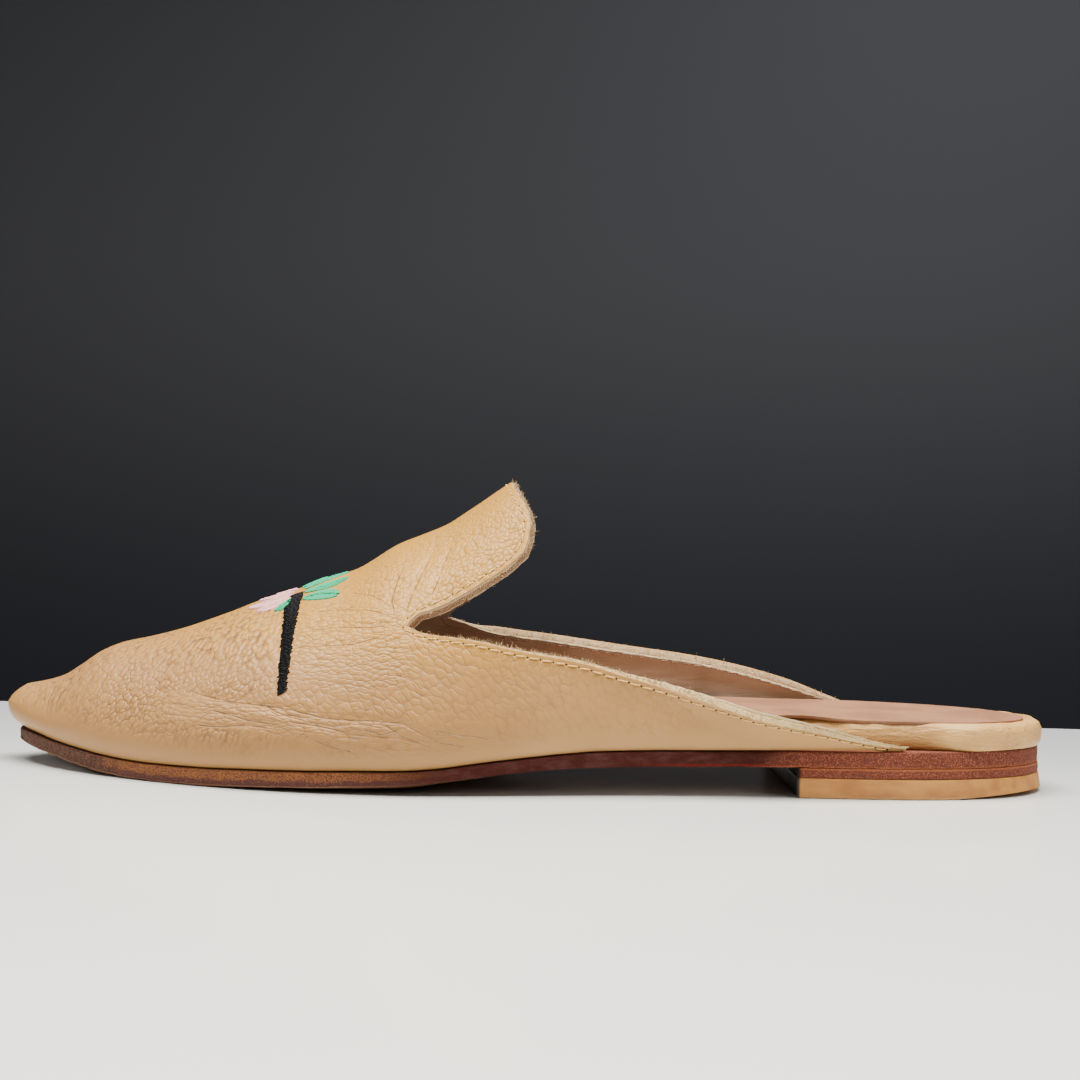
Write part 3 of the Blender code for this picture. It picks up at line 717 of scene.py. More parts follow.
@dataclass(frozen=True)
class PebbledLeather:
    """Camel leather with a milled grain: streaks and pebbles at the toe, larger cells behind them."""

    light: Colour = shade(177, 132, 79)
    main: Colour = shade(168, 124, 72)
    front_main: Colour = shade(157, 115, 67)
    # Painted light: the upper's top, from 24 to 40 mm up, is painted lighter and more golden, as where the
    # overhead lamp falls.
    lit_upper_tone: Colour = shade(182, 132, 50)
    # The colour of the painted shade in the grain's valleys and in the folds.
    valley: Colour = shade(138, 97, 54)
    margin: Colour = shade(178, 137, 88)
    streaks: GrainPattern = GrainPattern(4.4, 1.2, 77, 0.5)
    pebbles: GrainPattern = GrainPattern(1.8, 1.1, 66, 0.34, 0.26)
    band: GrainPattern = GrainPattern(2, 1, -3, 0.19, 0.18)
    rear: GrainPattern = GrainPattern(2.6, 1.5, -52, 0.19, 0.2)
    tab: GrainPattern = GrainPattern(1.7, 1.05, 74, 0.18, 0.2)
    flex: GrainPattern = GrainPattern(2.4, 0.95, 0, 0.2, 0.2)
    fold_depth: float = 0.26
    pore_depth: float = 0.03
    seam_depth: float = 0.12

    def grain(self, tree: Tree, place: Signal) -> Signal:
        """Height of the grain in millimetres, which changes from region to region."""
        swirl = tree.noise(place, 6, 2, output="Color")
        small_swirl = tree.noise(place, 1.5, 2, output="Color")
        bent = tree.swirled(tree.swirled(place, swirl, 2.0), small_swirl, 0.6)
        drift = tree.noise(place, 9, 2) * 14
        along, up = place.axis("X") + drift, place.axis("Z") + drift * 0.5
        beside = tree.attribute("flex_across")
        band = along.step(-52, -46) * along.step(-14, -24)
        regions = (
            (along.step(-106, -92) * up.step(34, 26), self.pebbles),
            (along.step(-60, -40), self.rear),
            (band * (up.step(25, 30) * up.step(52, 45)), self.band),
            ((up + along * 0.35).step(34, 40) * along.step(-48, -38), self.tab),
        )
        height = self.streaks.height(tree, bent)
        for share, pattern in regions:
            height = tree.blend(share, height, pattern.height(tree, bent))
        track = tree.node("CombineXYZ", inputs={"X": tree.attribute("flex_along"), "Z": beside})
        flexed = abs(beside + 0.8).step(4.8, 2.6) * tree.attribute("flex_share")
        return tree.blend(flexed, height, self.flex.height(tree, tree.swirled(track, small_swirl, 0.8)))

    def folds(self, tree: Tree, place: Signal) -> Signal:
        """How deep a place lies in the listed folds, from 0 to 1."""
        total = 0.0
        for layer in range(Crease.layers):
            pair = tree.attribute(f"fold_{layer}", "Vector")
            total = total + abs(pair.axis("X")).step(1, 0) * pair.axis("Y")
        return total * tree.noise(place, 2.6).step(0.36, 0.55, 0.25, 1)

    def strength(self, tree: Tree, place: Signal) -> Signal:
        """Share of the grain's full depth: less by the sole, the cut edge, the toe's tip and the heel."""
        along = place.axis("X")
        clear = tree.attribute("above") + along.step(-95, -60, 0, 2.6)
        strength = clear.step(3.5, 9.5) * tree.noise(place, 11, 2).step(0.3, 0.6, 0.6, 1.1)
        strength = strength * along.step(14, 70, 1, 0.2)
        strength = strength * tree.attribute("edge").step(0.6, 2.4, 0.5, 1)
        return strength * along.step(-130, -122, 0.35, 1)

    def build(self) -> Material:
        """Make the material."""
        tree = Tree("camel_leather_grain")
        place = tree.place()
        along = place.axis("X")
        depth = self.grain(tree, place) * self.strength(tree, place)
        depth = depth - self.folds(tree, place) * self.fold_depth
        seam = tree.attribute("seam").step(0, 0.6)
        normal = tree.bump((tree.noise(place, 0.4), self.pore_depth), (seam, self.seam_depth), (depth, 1))
        # Painted shade: the deeper a grain valley or fold, the more of the darker valley colour it gets,
        # most towards the toe.
        valley = tree.calc("MULTIPLY", depth + 0.05, along.step(-46, 0, -2.4, -1.6), clamp=True)
        colour = tree.paint(
            self.main, (tree.noise(place, 24).step(0.35, 0.65), self.light),
            (along.step(10, -40, 0, 0.85), self.front_main),
            # painted light on the upper's top
            (place.axis("Z").step(24, 40, 0, 0.9), self.lit_upper_tone), (valley, self.valley),
            (tree.attribute("edge").step(0.7, 0.1, 0, 0.6), self.margin),
        )
        return tree.surface(colour, valley * 0.3 + 0.36, 0.29, normal)


@dataclass(frozen=True)
class CutEdge:
    """The raw cut face of the topline: grain lip, cream fibres and the lining's pale line."""

    lip: Colour = shade(185, 143, 90)
    flesh: Colour = shade(217, 186, 132)
    speck: Colour = shade(154, 117, 72)
    line: Colour = shade(198, 180, 148)
    tab_flesh: Colour = shade(162, 124, 97)
    tab_dark: Colour = shade(122, 85, 65)
    # Painted shade: the far wing's cut edge is painted darker and greyer.
    shaded_far_flesh: Colour = shade(186, 156, 124)

    def build(self) -> Material:
        """Make the material."""
        tree = Tree("cut_edge")
        place = tree.place()
        across = tree.attribute("across")
        grains = tree.noise(place, 0.4, roughness=0.7)
        wing = tree.paint(
            # painted shade on the far wing's cut edge
            self.flesh, (place.axis("Y").step(0, 8, 0, 0.8), self.shaded_far_flesh),
            (grains.step(0.52, 0.68), self.speck),
        )
        tab = tree.paint(
            self.tab_flesh, (grains.step(0.45, 0.65), self.tab_dark), (across.step(0.3, 0.22), self.line),
        )
        joint = abs(across - LAYER_JOINT).step(0.05, 0.02, 0, 0.5)
        colour = tree.paint(
            wing, (tree.attribute("tab"), tab), (across.step(0.16, 0.1), self.lip),
            (across.step(0.84, 0.9), self.line), (joint, self.speck),
        )
        normal = tree.bump((tree.noise(place, 0.3, 4, 0.7), 0.35))
        return tree.surface(colour, 0.9, 0.2, normal)


@dataclass(frozen=True)
class SmoothLeather:
    """Plain lining or wrapping leather with fine lengthwise wrinkles."""

    name: str
    main: Colour
    dark: Colour
    roughness: float = 0.55
    grain: float = 0.1
    wrinkle: float = 0.25
    specular: float = 0.35
    pitch: float = 1.7

    def build(self) -> Material:
        """Make the material."""
        tree = Tree(self.name)
        place = tree.place()
        lines = tree.noise(tree.place((180, 1000, 1000)), self.pitch)
        normal = tree.bump((tree.noise(place, 0.5), self.grain * 0.5), (lines, self.wrinkle))
        colour = tree.paint(
            self.main, (tree.noise(place, 14, 4).step(0.35, 0.7), self.dark),
            # Painted shade: the wrinkles' troughs are painted darker.
            (lines.step(0.62, 0.3, 0, 0.25), self.dark),
        )
        return tree.surface(colour, self.roughness, self.specular, normal)


@dataclass(frozen=True)
class Thread:
    """Sewing or embroidery thread, two plies twisted together, with painted shade in the groove between
    them.
    """

    name: str
    main: Colour
    dark: Colour
    roughness: float = 0.5
    specular: float = 0.4

    def build(self) -> Material:
        """Make the material."""
        tree = Tree(self.name)
        twist = (tree.attribute("along") + tree.attribute("around")) * (2 * math.pi)
        ply = tree.calc("SINE", twist)
        # Painted shade: the groove between the plies is painted darker.
        colour = tree.paint(self.main, (ply.step(-0.4, -1, 0, 0.5), self.dark))
        normal = tree.bump((ply.step(-1, 1), 0.08))
        return tree.surface(colour, self.roughness, self.specular, normal)


@dataclass(frozen=True)
class SoleLeather:
    """Stained sole leather: its edge changes colour along the shoe, and its underside is walked bare."""

    name: str = "sole_leather_edge"
    toe: Colour = shade(66, 40, 32)
    toe_scuff: Colour = shade(124, 88, 67)
    toe_dark: Colour = shade(49, 30, 26)
    gold: Colour = shade(150, 95, 54)
    brown: Colour = shade(86, 50, 36)
    plum: Colour = shade(80, 46, 42)
    nap: Colour = shade(156, 112, 88)
    waist: Colour = shade(58, 16, 8)
    waist_light: Colour = shade(91, 38, 14)
    waist_line: Colour = shade(101, 20, 8)
    heel: Colour = shade(98, 44, 33)
    heel_nap: Colour = shade(172, 110, 80)
    joint: Colour = shade(166, 94, 55)
    under: Colour = shade(136, 94, 64)
    under_dirt: Colour = shade(72, 53, 42)
    # Painted shade: the heel's front face is painted near black, as the shadow it lies in under the waist.
    breast: Colour = shade(24, 15, 12)
    breast_shade: float = 0.0
    joint_share: tuple[float, float] = (0.0, 0.14)

    def front(self, tree: Tree, share: Signal, speckle: Signal, grain: Signal,
              blotch: Signal) -> tuple[Signal, Signal]:
        """Colours of the edge at the toe and under the forefoot."""
        toe = tree.paint(
            self.toe, (speckle.step(0.48, 0.6), self.toe_scuff),
            (grain.step(0.52, 0.38, 0, 0.85), self.toe_dark),
            (share.step(0.2, 0, 0, 0.7), self.toe_scuff),
        )
        gold = tree.paint(
            self.brown, (speckle.step(0.44, 0.54), self.gold), (grain.step(0.5, 0.36, 0, 0.7), self.plum),
        )
        low = tree.paint(self.plum, (speckle.step(0.54, 0.64, 0, 0.6), self.nap))
        fore = tree.paint(
            low, ((share + blotch * 0.6).step(0.66, 0.84), gold),
            (share.step(0.12, 0.02, 0, 0.6), self.nap),
        )
        return toe, fore

    def back(self, tree: Tree, share: Signal, speckle: Signal, blotch: Signal,
             along: Signal) -> tuple[Signal, Signal]:
        """Colours of the edge at the waist and at the heel."""
        red = abs(share - 0.14).step(0.12, 0.02) * along.step(22, 44)
        waist = tree.paint(
            self.waist, (blotch.step(0.4, 0.75, 0, 0.8), self.plum),
            (speckle.step(0.56, 0.72, 0, 0.6), self.waist_light), (red, self.waist_line),
        )
        start, end = self.joint_share
        in_joint = share.step(start - 0.03, start + 0.02) * share.step(end, end - 0.1)
        heel = tree.paint(
            self.heel, (speckle.step(0.5, 0.64), self.heel_nap),
            (blotch.step(0.46, 0.3, 0, 0.6), self.plum), (in_joint * 0.5, self.joint),
        )
        return waist, heel

    def build(self) -> Material:
        """Make the material."""
        tree = Tree(self.name)
        place = tree.place()
        along, share = place.axis("X"), tree.attribute("share")
        speckle = tree.noise(place, 0.3, roughness=0.85)
        grain = tree.noise(tree.place((1000, 1000, 1600)), 0.6, roughness=0.65)
        blotch = tree.noise(tree.place((420, 1000, 1100)), 1.7, 4, 0.65)
        scratch = tree.noise(tree.place((180, 1400, 1000)), 1.1, 4, 0.7)
        toe, fore = self.front(tree, share, speckle, grain, blotch)
        waist, heel = self.back(tree, share, speckle, blotch, along)
        drift = along + blotch * 14.0
        under = tree.paint(
            self.under, (scratch.step(0.45, 0.62), self.under_dirt),
            (blotch.step(0.5, 0.72, 0, 0.6), self.under_dirt),
        )
        colour = tree.paint(
            toe, (drift.step(-98, -84), fore), (drift.step(-38, -6), waist), (drift.step(62, 76), heel),
            (share.step(-0.02, -0.3), under),
            # painted shade on the heel's front face
            (along.step(*BREAST_SHADE_STEP, 0, self.breast_shade), self.breast),
        )
        normal = tree.bump((speckle, 0.2), (grain, 0.3))
        return tree.surface(colour, speckle.step(0.3, 0.7, 0.5, 0.85), 0.14, normal)


@dataclass(frozen=True)
class HeelRubber:
    """Amber rubber of the top piece, dirty and whitened where it meets the ground."""

    main: Colour = shade(186, 129, 63)
    dark: Colour = shade(160, 103, 48)
    chalk: Colour = shade(208, 170, 116)
    # Painted shade: the top piece's front face is painted near black, as the shadow it lies in under the
    # waist.
    breast: Colour = shade(30, 20, 14)
    dirt: Colour = shade(74, 49, 31)

    def build(self) -> Material:
        """Make the material."""
        tree = Tree("heel_rubber")
        place, share = tree.place(), tree.attribute("share")
        cloud = tree.noise(tree.place((300, 1000, 900)), 3, 4)
        grit = tree.noise(place, 0.5, 4, 0.7)
        low = (share + grit * 0.3).step(0.34, 0.12)
        colour = tree.paint(
            self.main, (cloud.step(0.35, 0.7), self.dark), (low * 0.55, self.chalk),
            (low * grit.step(0.6, 0.7), self.dirt), (share.step(-0.02, -0.3, 0, 0.75), self.dirt),
            # painted shade on the top piece's front face
            (place.axis("X").step(*BREAST_SHADE_STEP), self.breast),
        )
        return tree.surface(colour, 0.5, 0.4, tree.bump((grit, 0.1), (cloud, 0.2)))


@dataclass(frozen=True)
class Crease:
    """One fold of the leather, as a soft trough with a ridge along each side of it.

    Attributes:
        path: (station, height) pairs on the outer face, or (station, turn) pairs near the ridge.
        side: The side of the shoe.
        depth: Depth of the trough in its middle.
        width: Half of its width.
        by_turn: Whether the path's second numbers are turns.
        layer: Which of the folds' attributes holds its sharp line; folds that meet differ in it.
    """

    path: tuple[tuple[float, float], ...]
    side: Side = Side.LATERAL
    depth: float = 0.5
    width: float = 1.2
    by_turn: bool = False
    layer: int = 0
    layers: ClassVar[int] = 4
    line_width: ClassVar[float] = 0.36
    press_share: ClassVar[float] = 0.32

    def line(self, shape: LastShape) -> Array:
        """The crease's corners on the last."""
        pairs = np.array(self.path, float)
        turns = pairs[:, 1] if self.by_turn else shape.turn_at(pairs[:, 0], pairs[:, 1])
        return resample(shape.skin(pairs[:, 0], self.side, turns), 1.5)

    def press(self, points: Array, normals: Array, shape: LastShape) -> tuple[Array, Array]:
        """What the crease does to each point of the outer face.

        Args:
            points: The face's points.
            normals: Its normals there.
            shape: The last.

        Returns:
            How far it lifts each point in millimetres, and each point's distance from its sharp line
            in half widths of the line, which is narrower towards its ends.
        """
        distance, along = beside_path(points, normals, self.line(shape))
        taper = ease(along, 0, 0.18) * (1 - ease(along, 0.8, 1))
        u = np.abs(distance / self.width)
        ridge = 0.5 * np.exp(-((u - 2.1) / 1.1) ** 2)
        lift = self.press_share * self.depth * taper * (ridge - np.exp(-u * u))
        strength = min(1.0, self.depth / 0.45)
        sharp = distance / (self.line_width * np.maximum(taper * strength, 0.02))
        return lift, np.clip(sharp, -9.0, 9.0)


# The line that the fine flex wrinkles follow on each side, in the same pairs as a crease's path.
FLEX_TRACKS = {
    Side.LATERAL: ((42, 19.5), (55, 18.4), (70, 17.8), (84, 16.4), (96, 15), (108, 14.2),
                   (118, 12.2), (134, 10.6)),
    Side.MEDIAL: ((50, 19.5), (66, 18.6), (82, 17.4), (98, 15.8), (112, 14.2), (126, 12.8)),
}
FLEX_CREASES = (
    Crease(((50, 22.5), (56.9, 20.9), (63.5, 19.8), (72.7, 19.3), (77, 19), (82.6, 18.2), (87.1, 17.3),
            (91.1, 17), (100.5, 16.9), (105.8, 16.6), (109.5, 14.6), (113.6, 12.6), (118.4, 11.9),
            (124, 11)), depth=0.7, width=1.1),
    Crease(((77.3, 16.2), (82.1, 15.8), (85.9, 15.5), (90.1, 14.8), (94, 13.8), (99, 13.5),
            (103.9, 13.4), (108.9, 12.4), (114.6, 10.9)), depth=0.6, width=1, layer=1),
    Crease(((72.6, 19.9), (76.2, 18.1), (80.1, 17), (84.9, 16.3)), depth=0.4, width=0.9, layer=2),
    Crease(((58, 18), (65.7, 16.7), (70.7, 15.7), (78.6, 15.2)), depth=0.35, width=1, layer=3),
    Crease(((55, 14), (63.5, 14.1), (69.3, 14.8), (78.7, 14.1)), depth=0.3, width=1, layer=2),
    Crease(((100.5, 17), (103.3, 15.2), (106.1, 13.5), (110.5, 12.3)), depth=0.45, width=0.8, layer=2),
    Crease(((106, 16.4), (104.7, 15), (101, 14), (95.5, 15.4)), depth=0.35, width=0.8, layer=3),
    Crease(((82.2, 13.8), (86.5, 12), (89.3, 11), (95, 10)), depth=0.3, width=0.9, layer=3),
    Crease(((112, 15.4), (118, 14.2), (126, 13.6)), depth=0.25, width=1, layer=1),
    Crease(((60, 20), (72, 21), (86, 19.8), (98, 18.4), (112, 16.2)), side=Side.MEDIAL, depth=0.7),
    Crease(((74, 17), (88, 15.6), (100, 14.6), (114, 13)), side=Side.MEDIAL, depth=0.5, layer=1),
    Crease(((84, 20.2), (94, 17.4), (104, 15.8)), side=Side.MEDIAL, depth=0.35, layer=2),
    Crease(((66, 15), (78, 14.4), (88, 13.2)), side=Side.MEDIAL, depth=0.3, layer=3),
)
THROAT_CREASES = (
    Crease(((104.5, 40), (105.5, 46), (107.5, 54), (109.5, 62), (110.5, 72)), depth=0.45, width=1.1,
           by_turn=True),
    Crease(((102.5, 40), (101, 47), (102, 56), (104, 66)), depth=0.3, width=1, by_turn=True, layer=1),
    Crease(((110, 43), (112, 50), (114, 60), (115, 70)), depth=0.25, width=1, by_turn=True, layer=1),
    Crease(((102.5, 38.2), (96, 37.5), (88, 37.2), (80, 36)), depth=0.3, width=0.9, layer=2),
    Crease(((102.5, 40), (95, 41.5), (87, 41.2), (80.5, 40)), depth=0.3, width=0.9, layer=3),
    Crease(((102, 42), (96, 44.8), (89, 45.2)), depth=0.25, width=0.8, layer=2),
    Crease(((101, 36), (93, 33.6), (85, 33), (80, 31.8)), depth=0.25, width=0.9, layer=3),
    Crease(((110.5, 38), (111.5, 46), (112.5, 56), (112, 68)), side=Side.MEDIAL, depth=0.45,
           width=1.1, by_turn=True),
    Crease(((107, 38), (98, 37), (88, 36)), side=Side.MEDIAL, depth=0.3, width=0.9, layer=1),
)


def toe_creases() -> list[Crease]:
    """Short upright folds where the leather is drawn in around the toe, on both sides."""
    found = []
    for side in Side:
        for i, station in enumerate((12.5, 15.5, 18.5, 22.0, 25.5, 29.5, 34.0, 39.0, 44.5)):
            lean = 1.5 + 0.5 * i
            path = ((station, 26.0), (station + 0.3 * lean, 42.0), (station + lean, 62.0))
            depth = 0.14 + 0.02 * (i % 3)
            found.append(Crease(path, side, depth, width=0.85, by_turn=True, layer=i % Crease.layers))
    return found


class Surface:
    """The upper's outer face, which stitches and embroidery are laid on."""

    def __init__(self, mesh: Mesh) -> None:
        """Keep the mesh's faces for finding the nearest place on them."""
        points = get_points(mesh)
        self.tree = BVHTree.FromPolygons(points.tolist(), [tuple(face.vertices) for face in mesh.polygons])
        self.vertices = make_kd(points)
        self.normals = get_normals(mesh)

    def drop(self, points: Array) -> tuple[Array, Array]:
        """The nearest place on the face to each point, and the face's normal there."""
        places = np.array([self.tree.find_nearest(Vector(point))[0] for point in points])
        normals = np.array([self.normals[self.vertices.find(Vector(place))[1]] for place in places])
        return places, normals

    def from_above(self, flat: Array) -> Array:
        """Places on the face straight below (station, y) rows."""
        down = Vector((0.0, 0.0, -1.0))
        return np.array([self.tree.ray_cast(Vector((s, y, 200.0)), down)[0] for s, y in flat])


@dataclass
class Upper:
    """The vamp: leather and lining in one wall, with a tab, two wings and a raw topline."""

    shape: LastShape
    wall: float = 2.3
    side_columns: int = 40
    top_columns: int = 44
    body_rows: int = 130
    wing_rows: int = 130
    tab_rows: int = 34
    rim_cuts: int = 7
    skived_share: float = 0.85
    unevenness: float = 0.22
    lean: float = 0.42
    rear_lean: float = 0.2
    end_lean: float = 0.35
    inner_lean: float = 0.7
    inner_end_lean: float = 0.45
    lean_reach: float = 2.4
    rim_sunk: float = 0.08
    corner_round: float = 0.12
    joint_depth: float = 0.22
    fluff: float = 0.24

    def areas(self) -> dict[str, Array]:
        """Points of the vamp, the wings and the tab, by row from the toe and column around."""
        low, top = self.side_columns, self.top_columns
        columns = np.arange(low + top + 1)
        w = np.where(columns <= low, columns / low, 1 + (columns - low) / top)[None, :]
        v = (np.arange(self.body_rows + 1) / self.body_rows)[:, None]
        lateral = self.shape.body(v, w, Side.LATERAL)
        medial = self.shape.body(v, w, Side.MEDIAL)[:, ::-1]
        body = np.concatenate([lateral, medial[:, 1:]], 1)
        last = body.shape[1] - 1
        areas = {"body": body}
        for side, name in ((Side.LATERAL, "lateral"), (Side.MEDIAL, "medial")):
            share = (np.arange(low + 1) / low)[None, :]
            start, end = NOTCH[side], WING_END[side]
            station = (start + (end - start) * np.arange(self.wing_rows + 1) / self.wing_rows)[:, None]
            wing = self.shape.wing(station, side, share)
            if side is Side.MEDIAL:
                wing = wing[:, ::-1]
            wing[0] = body[-1, :low + 1] if side is Side.LATERAL else body[-1, last - low:]
            areas[name] = wing
        v = (np.arange(self.tab_rows + 1) / self.tab_rows)[:, None]
        w = (np.arange(top + 1) / top)[None, :]
        half = self.shape.tab(v, w, Side.LATERAL)
        other = self.shape.tab(v, w, Side.MEDIAL)[:, ::-1]
        tab = np.concatenate([half, other[:, 1:]], 1)
        tab[0] = body[-1, low:last - low + 1]
        areas["tab"] = tab
        return areas

    def topline(self, areas: dict[str, Array]) -> Array:
        """The cut edge from the rear of the outer wing over the tab to the rear of the inner one."""
        lateral, medial, tab = areas["lateral"], areas["medial"], areas["tab"]
        return np.vstack([
            lateral[::-1, -1], tab[1:, 0], tab[-1, 1:], tab[-2::-1, -1], medial[1:, 0],
        ])

    def sheet(self, areas: dict[str, Array]) -> Object:
        """The outer face: one grid for each area, shaped, joined and welded along the seams."""
        grids = [add_grid(f"grid_{name}", points) for name, points in areas.items()]
        for grid in grids:
            grid.select_set(True)
        bpy.context.view_layer.objects.active = grids[0]
        bpy.ops.object.join()
        sheet = bpy.context.active_object
        weld(outwards=False)
        sheet.name = sheet.data.name = "upper_shell"
        return sheet

    def crease(self, sheet: Object, edge: KDTree) -> None:
        """Press the folds and a slight unevenness into the outer face, and store where they lie."""
        points, normals = get_points(sheet.data), get_normals(sheet.data)
        lift = np.zeros(len(points))
        folds = np.full((Crease.layers, len(points)), 9.0)
        for crease in (*FLEX_CREASES, *THROAT_CREASES, *toe_creases()):
            pressed, sharp = crease.press(points, normals, self.shape)
            lift += pressed
            kept = folds[crease.layer]
            folds[crease.layer] = np.where(np.abs(sharp) < np.abs(kept), sharp, kept)
        above = points[:, 2] - self.shape.base(points[:, 0])
        near_edge = nearest(edge, points)[1]
        lift *= ease(above, 0.5, 5) * ease(near_edge, 0.5, 3.5)
        uneven = self.unevenness * rough(points, 17, 3.1)
        lift += uneven * ease(above, 0, 8) * ease(near_edge, 0, 6)
        for layer, values in enumerate(folds):
            set_pairs(sheet.data, f"fold_{layer}", values, 1 - ease(np.abs(values), 2.5, 5))
        self.mark_flex(sheet.data, points, normals)
        set_points(sheet.data, points + normals * lift[:, None])

    def mark_flex(self, mesh: Mesh, points: Array, normals: Array) -> None:
        """Store how far along and beside the main flex crease each point lies."""
        lateral = points[:, 1] < LAST.at("offset", points[:, 0])
        found = []
        for side in Side:
            stations, heights = np.array(FLEX_TRACKS[side], float).T
            line = resample(self.shape.skin(stations, side, self.shape.turn_at(stations, heights)), 2.0)
            across, share = beside_path(points, normals, line)
            fading = ease(share, 0, 0.16) * (1 - ease(share, 0.86, 1))
            found.append((share * run_length(line), across, fading))
        (along, across, share), (along_in, across_in, share_in) = found
        set_attribute(mesh, "flex_along", np.where(lateral, along, along_in))
        set_attribute(mesh, "flex_across", np.where(lateral, across, across_in))
        set_attribute(mesh, "flex_share", np.where(lateral, share, share_in))

    @classmethod
    def wall_at(cls, points: Array) -> Array:
        """Thickness of the wall at each point: the leather is skived thin at the wings' ends."""
        end = np.where(points[:, 1] < 0, WING_END[Side.LATERAL], WING_END[Side.MEDIAL])
        return cls.wall * (1 - cls.skived_share * ease(points[:, 0] - end, -34, -1))

    def thicken(self, sheet: Object) -> None:
        """Give the sheet its wall, with the lining inside and a rim that is cut into strips."""
        pick_only(sheet)
        group = sheet.vertex_groups.new(name="wall")
        for i, thickness in enumerate(self.wall_at(get_points(sheet.data))):
            group.add([i], float(thickness / self.wall), "REPLACE")
        solid = sheet.modifiers.new("wall", "SOLIDIFY")
        solid.thickness = self.wall * MM
        solid.vertex_group = group.name
        solid.offset = -1.0
        solid.material_offset = LINING_SLOT
        solid.material_offset_rim = RIM_SLOT
        bpy.ops.object.modifier_apply(modifier=solid.name)
        mesh = sheet.data
        points = get_points(mesh)
        floor = self.shape.base(points[:, 0])
        points[:, 2] = np.maximum(points[:, 2], floor - 0.05)
        set_points(mesh, points)
        uses = {}
        for face in mesh.polygons:
            for key in face.edge_keys:
                uses.setdefault(key, []).append(face.material_index == RIM_SLOT)
        above = points[:, 2] - floor
        select_edges(mesh, lambda edge: all(uses[edge.key]) and max(above[list(edge.vertices)]) > 0.6)
        bpy.ops.mesh.subdivide(number_cuts=self.rim_cuts)
        bpy.ops.object.mode_set(mode="OBJECT")

    @classmethod
    def slant_at(cls, points: Array) -> Array:
        """How far the cut face leans at each point: out of the shoe, but on the inner wing into it."""
        station = points[:, 0]
        lean = cls.lean + cls.rear_lean * ease(station, 170, 200) + cls.end_lean * ease(station, 200, 214)
        wing = 1 - ease(points[:, 2] - WINGS[Side.MEDIAL].at("edge", station), 3, 6)
        wing *= ease(station, 116, 126) * (points[:, 1] > LAST.at("offset", station))
        return lean - wing * (lean + cls.inner_lean - cls.inner_end_lean * ease(station, 200, 230))

    def dress_rim(self, item: Object, outer: KDTree, inner: KDTree) -> None:
        """Round the cut face, part its two layers, and store what the leather's finish reads."""
        mesh = item.data
        points = get_points(mesh)
        cut = np.zeros(len(points), bool)
        face_out = np.zeros((len(points), 3))
        for face in mesh.polygons:
            if face.material_index == RIM_SLOT:
                cut[list(face.vertices)] = True
                face_out[list(face.vertices)] += np.array(face.normal)
        face_out = unit(face_out)
        outer_edge, to_outer = nearest(outer, points)
        inner_edge, to_inner = nearest(inner, points)
        above = points[:, 2] - self.shape.base(points[:, 0])
        across = to_outer / np.maximum(to_outer + to_inner, TINY)
        on_rim = cut & (np.minimum(to_outer, to_inner) < 1.3) & (above > 0.3)
        slant = self.slant_at(points)
        outside = (outer_edge, to_outer, to_inner, slant)
        inside = (inner_edge, to_inner, to_outer, -slant)
        for edge, reach, other, lean in (outside, inside):
            beside = ~cut & (reach > 0.05) & (reach < self.lean_reach) & (reach < other)
            away = (points - edge) / np.maximum(reach, TINY)[:, None]
            push = np.where(beside, np.maximum(lean, 0.0) * (1 - reach / self.lean_reach), 0.0)
            points += away * push[:, None]
        lip, back = 1 - ease(across, 0, 0.14), ease(across, 0.88, 1)
        rounding = -self.corner_round * lip - self.corner_round * back
        joint = -self.joint_depth * np.exp(-((across - LAYER_JOINT) / 0.05) ** 2)
        fluff = self.fluff * rough(points, 0.8, 8) * ease(across, 0.06, 0.2)
        raised = rounding + joint + fluff - self.rim_sunk - slant * (1 - 2 * across)
        shift = np.where(on_rim, raised, 0.0)
        set_points(mesh, points + face_out * shift[:, None])
        set_attribute(mesh, "across", across)
        wing_top = WINGS[Side.LATERAL].at("edge", points[:, 0])
        on_tab = ease(points[:, 2] - wing_top, 1.5, 4) * (1 - ease(points[:, 0], 150, 152))
        set_attribute(mesh, "tab", np.maximum(on_tab, 1 - ease(points[:, 0] - NOTCH[Side.LATERAL], 4, 11)))
        set_attribute(mesh, "edge", np.minimum(to_outer, to_inner))
        set_attribute(mesh, "above", above)

    def build(self) -> tuple[Object, Surface, Array]:
        """Make the upper.

        Returns:
            The finished piece, its outer face and its topline.
        """
        areas = self.areas()
        topline = self.topline(areas)
        sheet = self.sheet(areas)
        outer = make_kd(resample(topline, 0.25))
        self.crease(sheet, outer)
        surface = Surface(sheet.data)
        edge, normals = surface.drop(resample(topline, 0.25))
        seam = make_kd(resample(Stitching(surface, topline).line(), 0.3))
        set_attribute(sheet.data, "seam", nearest(seam, get_points(sheet.data))[1])
        for material in (PebbledLeather().build(), LINING.build(), CutEdge().build()):
            sheet.data.materials.append(material)
        self.thicken(sheet)
        self.dress_rim(sheet, outer, make_kd(edge - normals * self.wall_at(edge)[:, None]))
        pick_only(sheet)
        bpy.ops.object.shade_smooth_by_angle(angle=math.radians(50))
        return sheet, surface, topline


LINING = SmoothLeather("lining_leather", shade(182, 160, 138), shade(162, 136, 114), wrinkle=0.35)
RAND_FINISH = SmoothLeather(
    "rand_leather", shade(204, 158, 96), shade(176, 130, 74), 0.38, 0.3, 0.45, pitch=0.85)
SOCK_FINISH = SmoothLeather(
    "sock_leather", shade(143, 101, 75), shade(124, 85, 63), 0.7, 0.3, 0.45, specular=0.2)


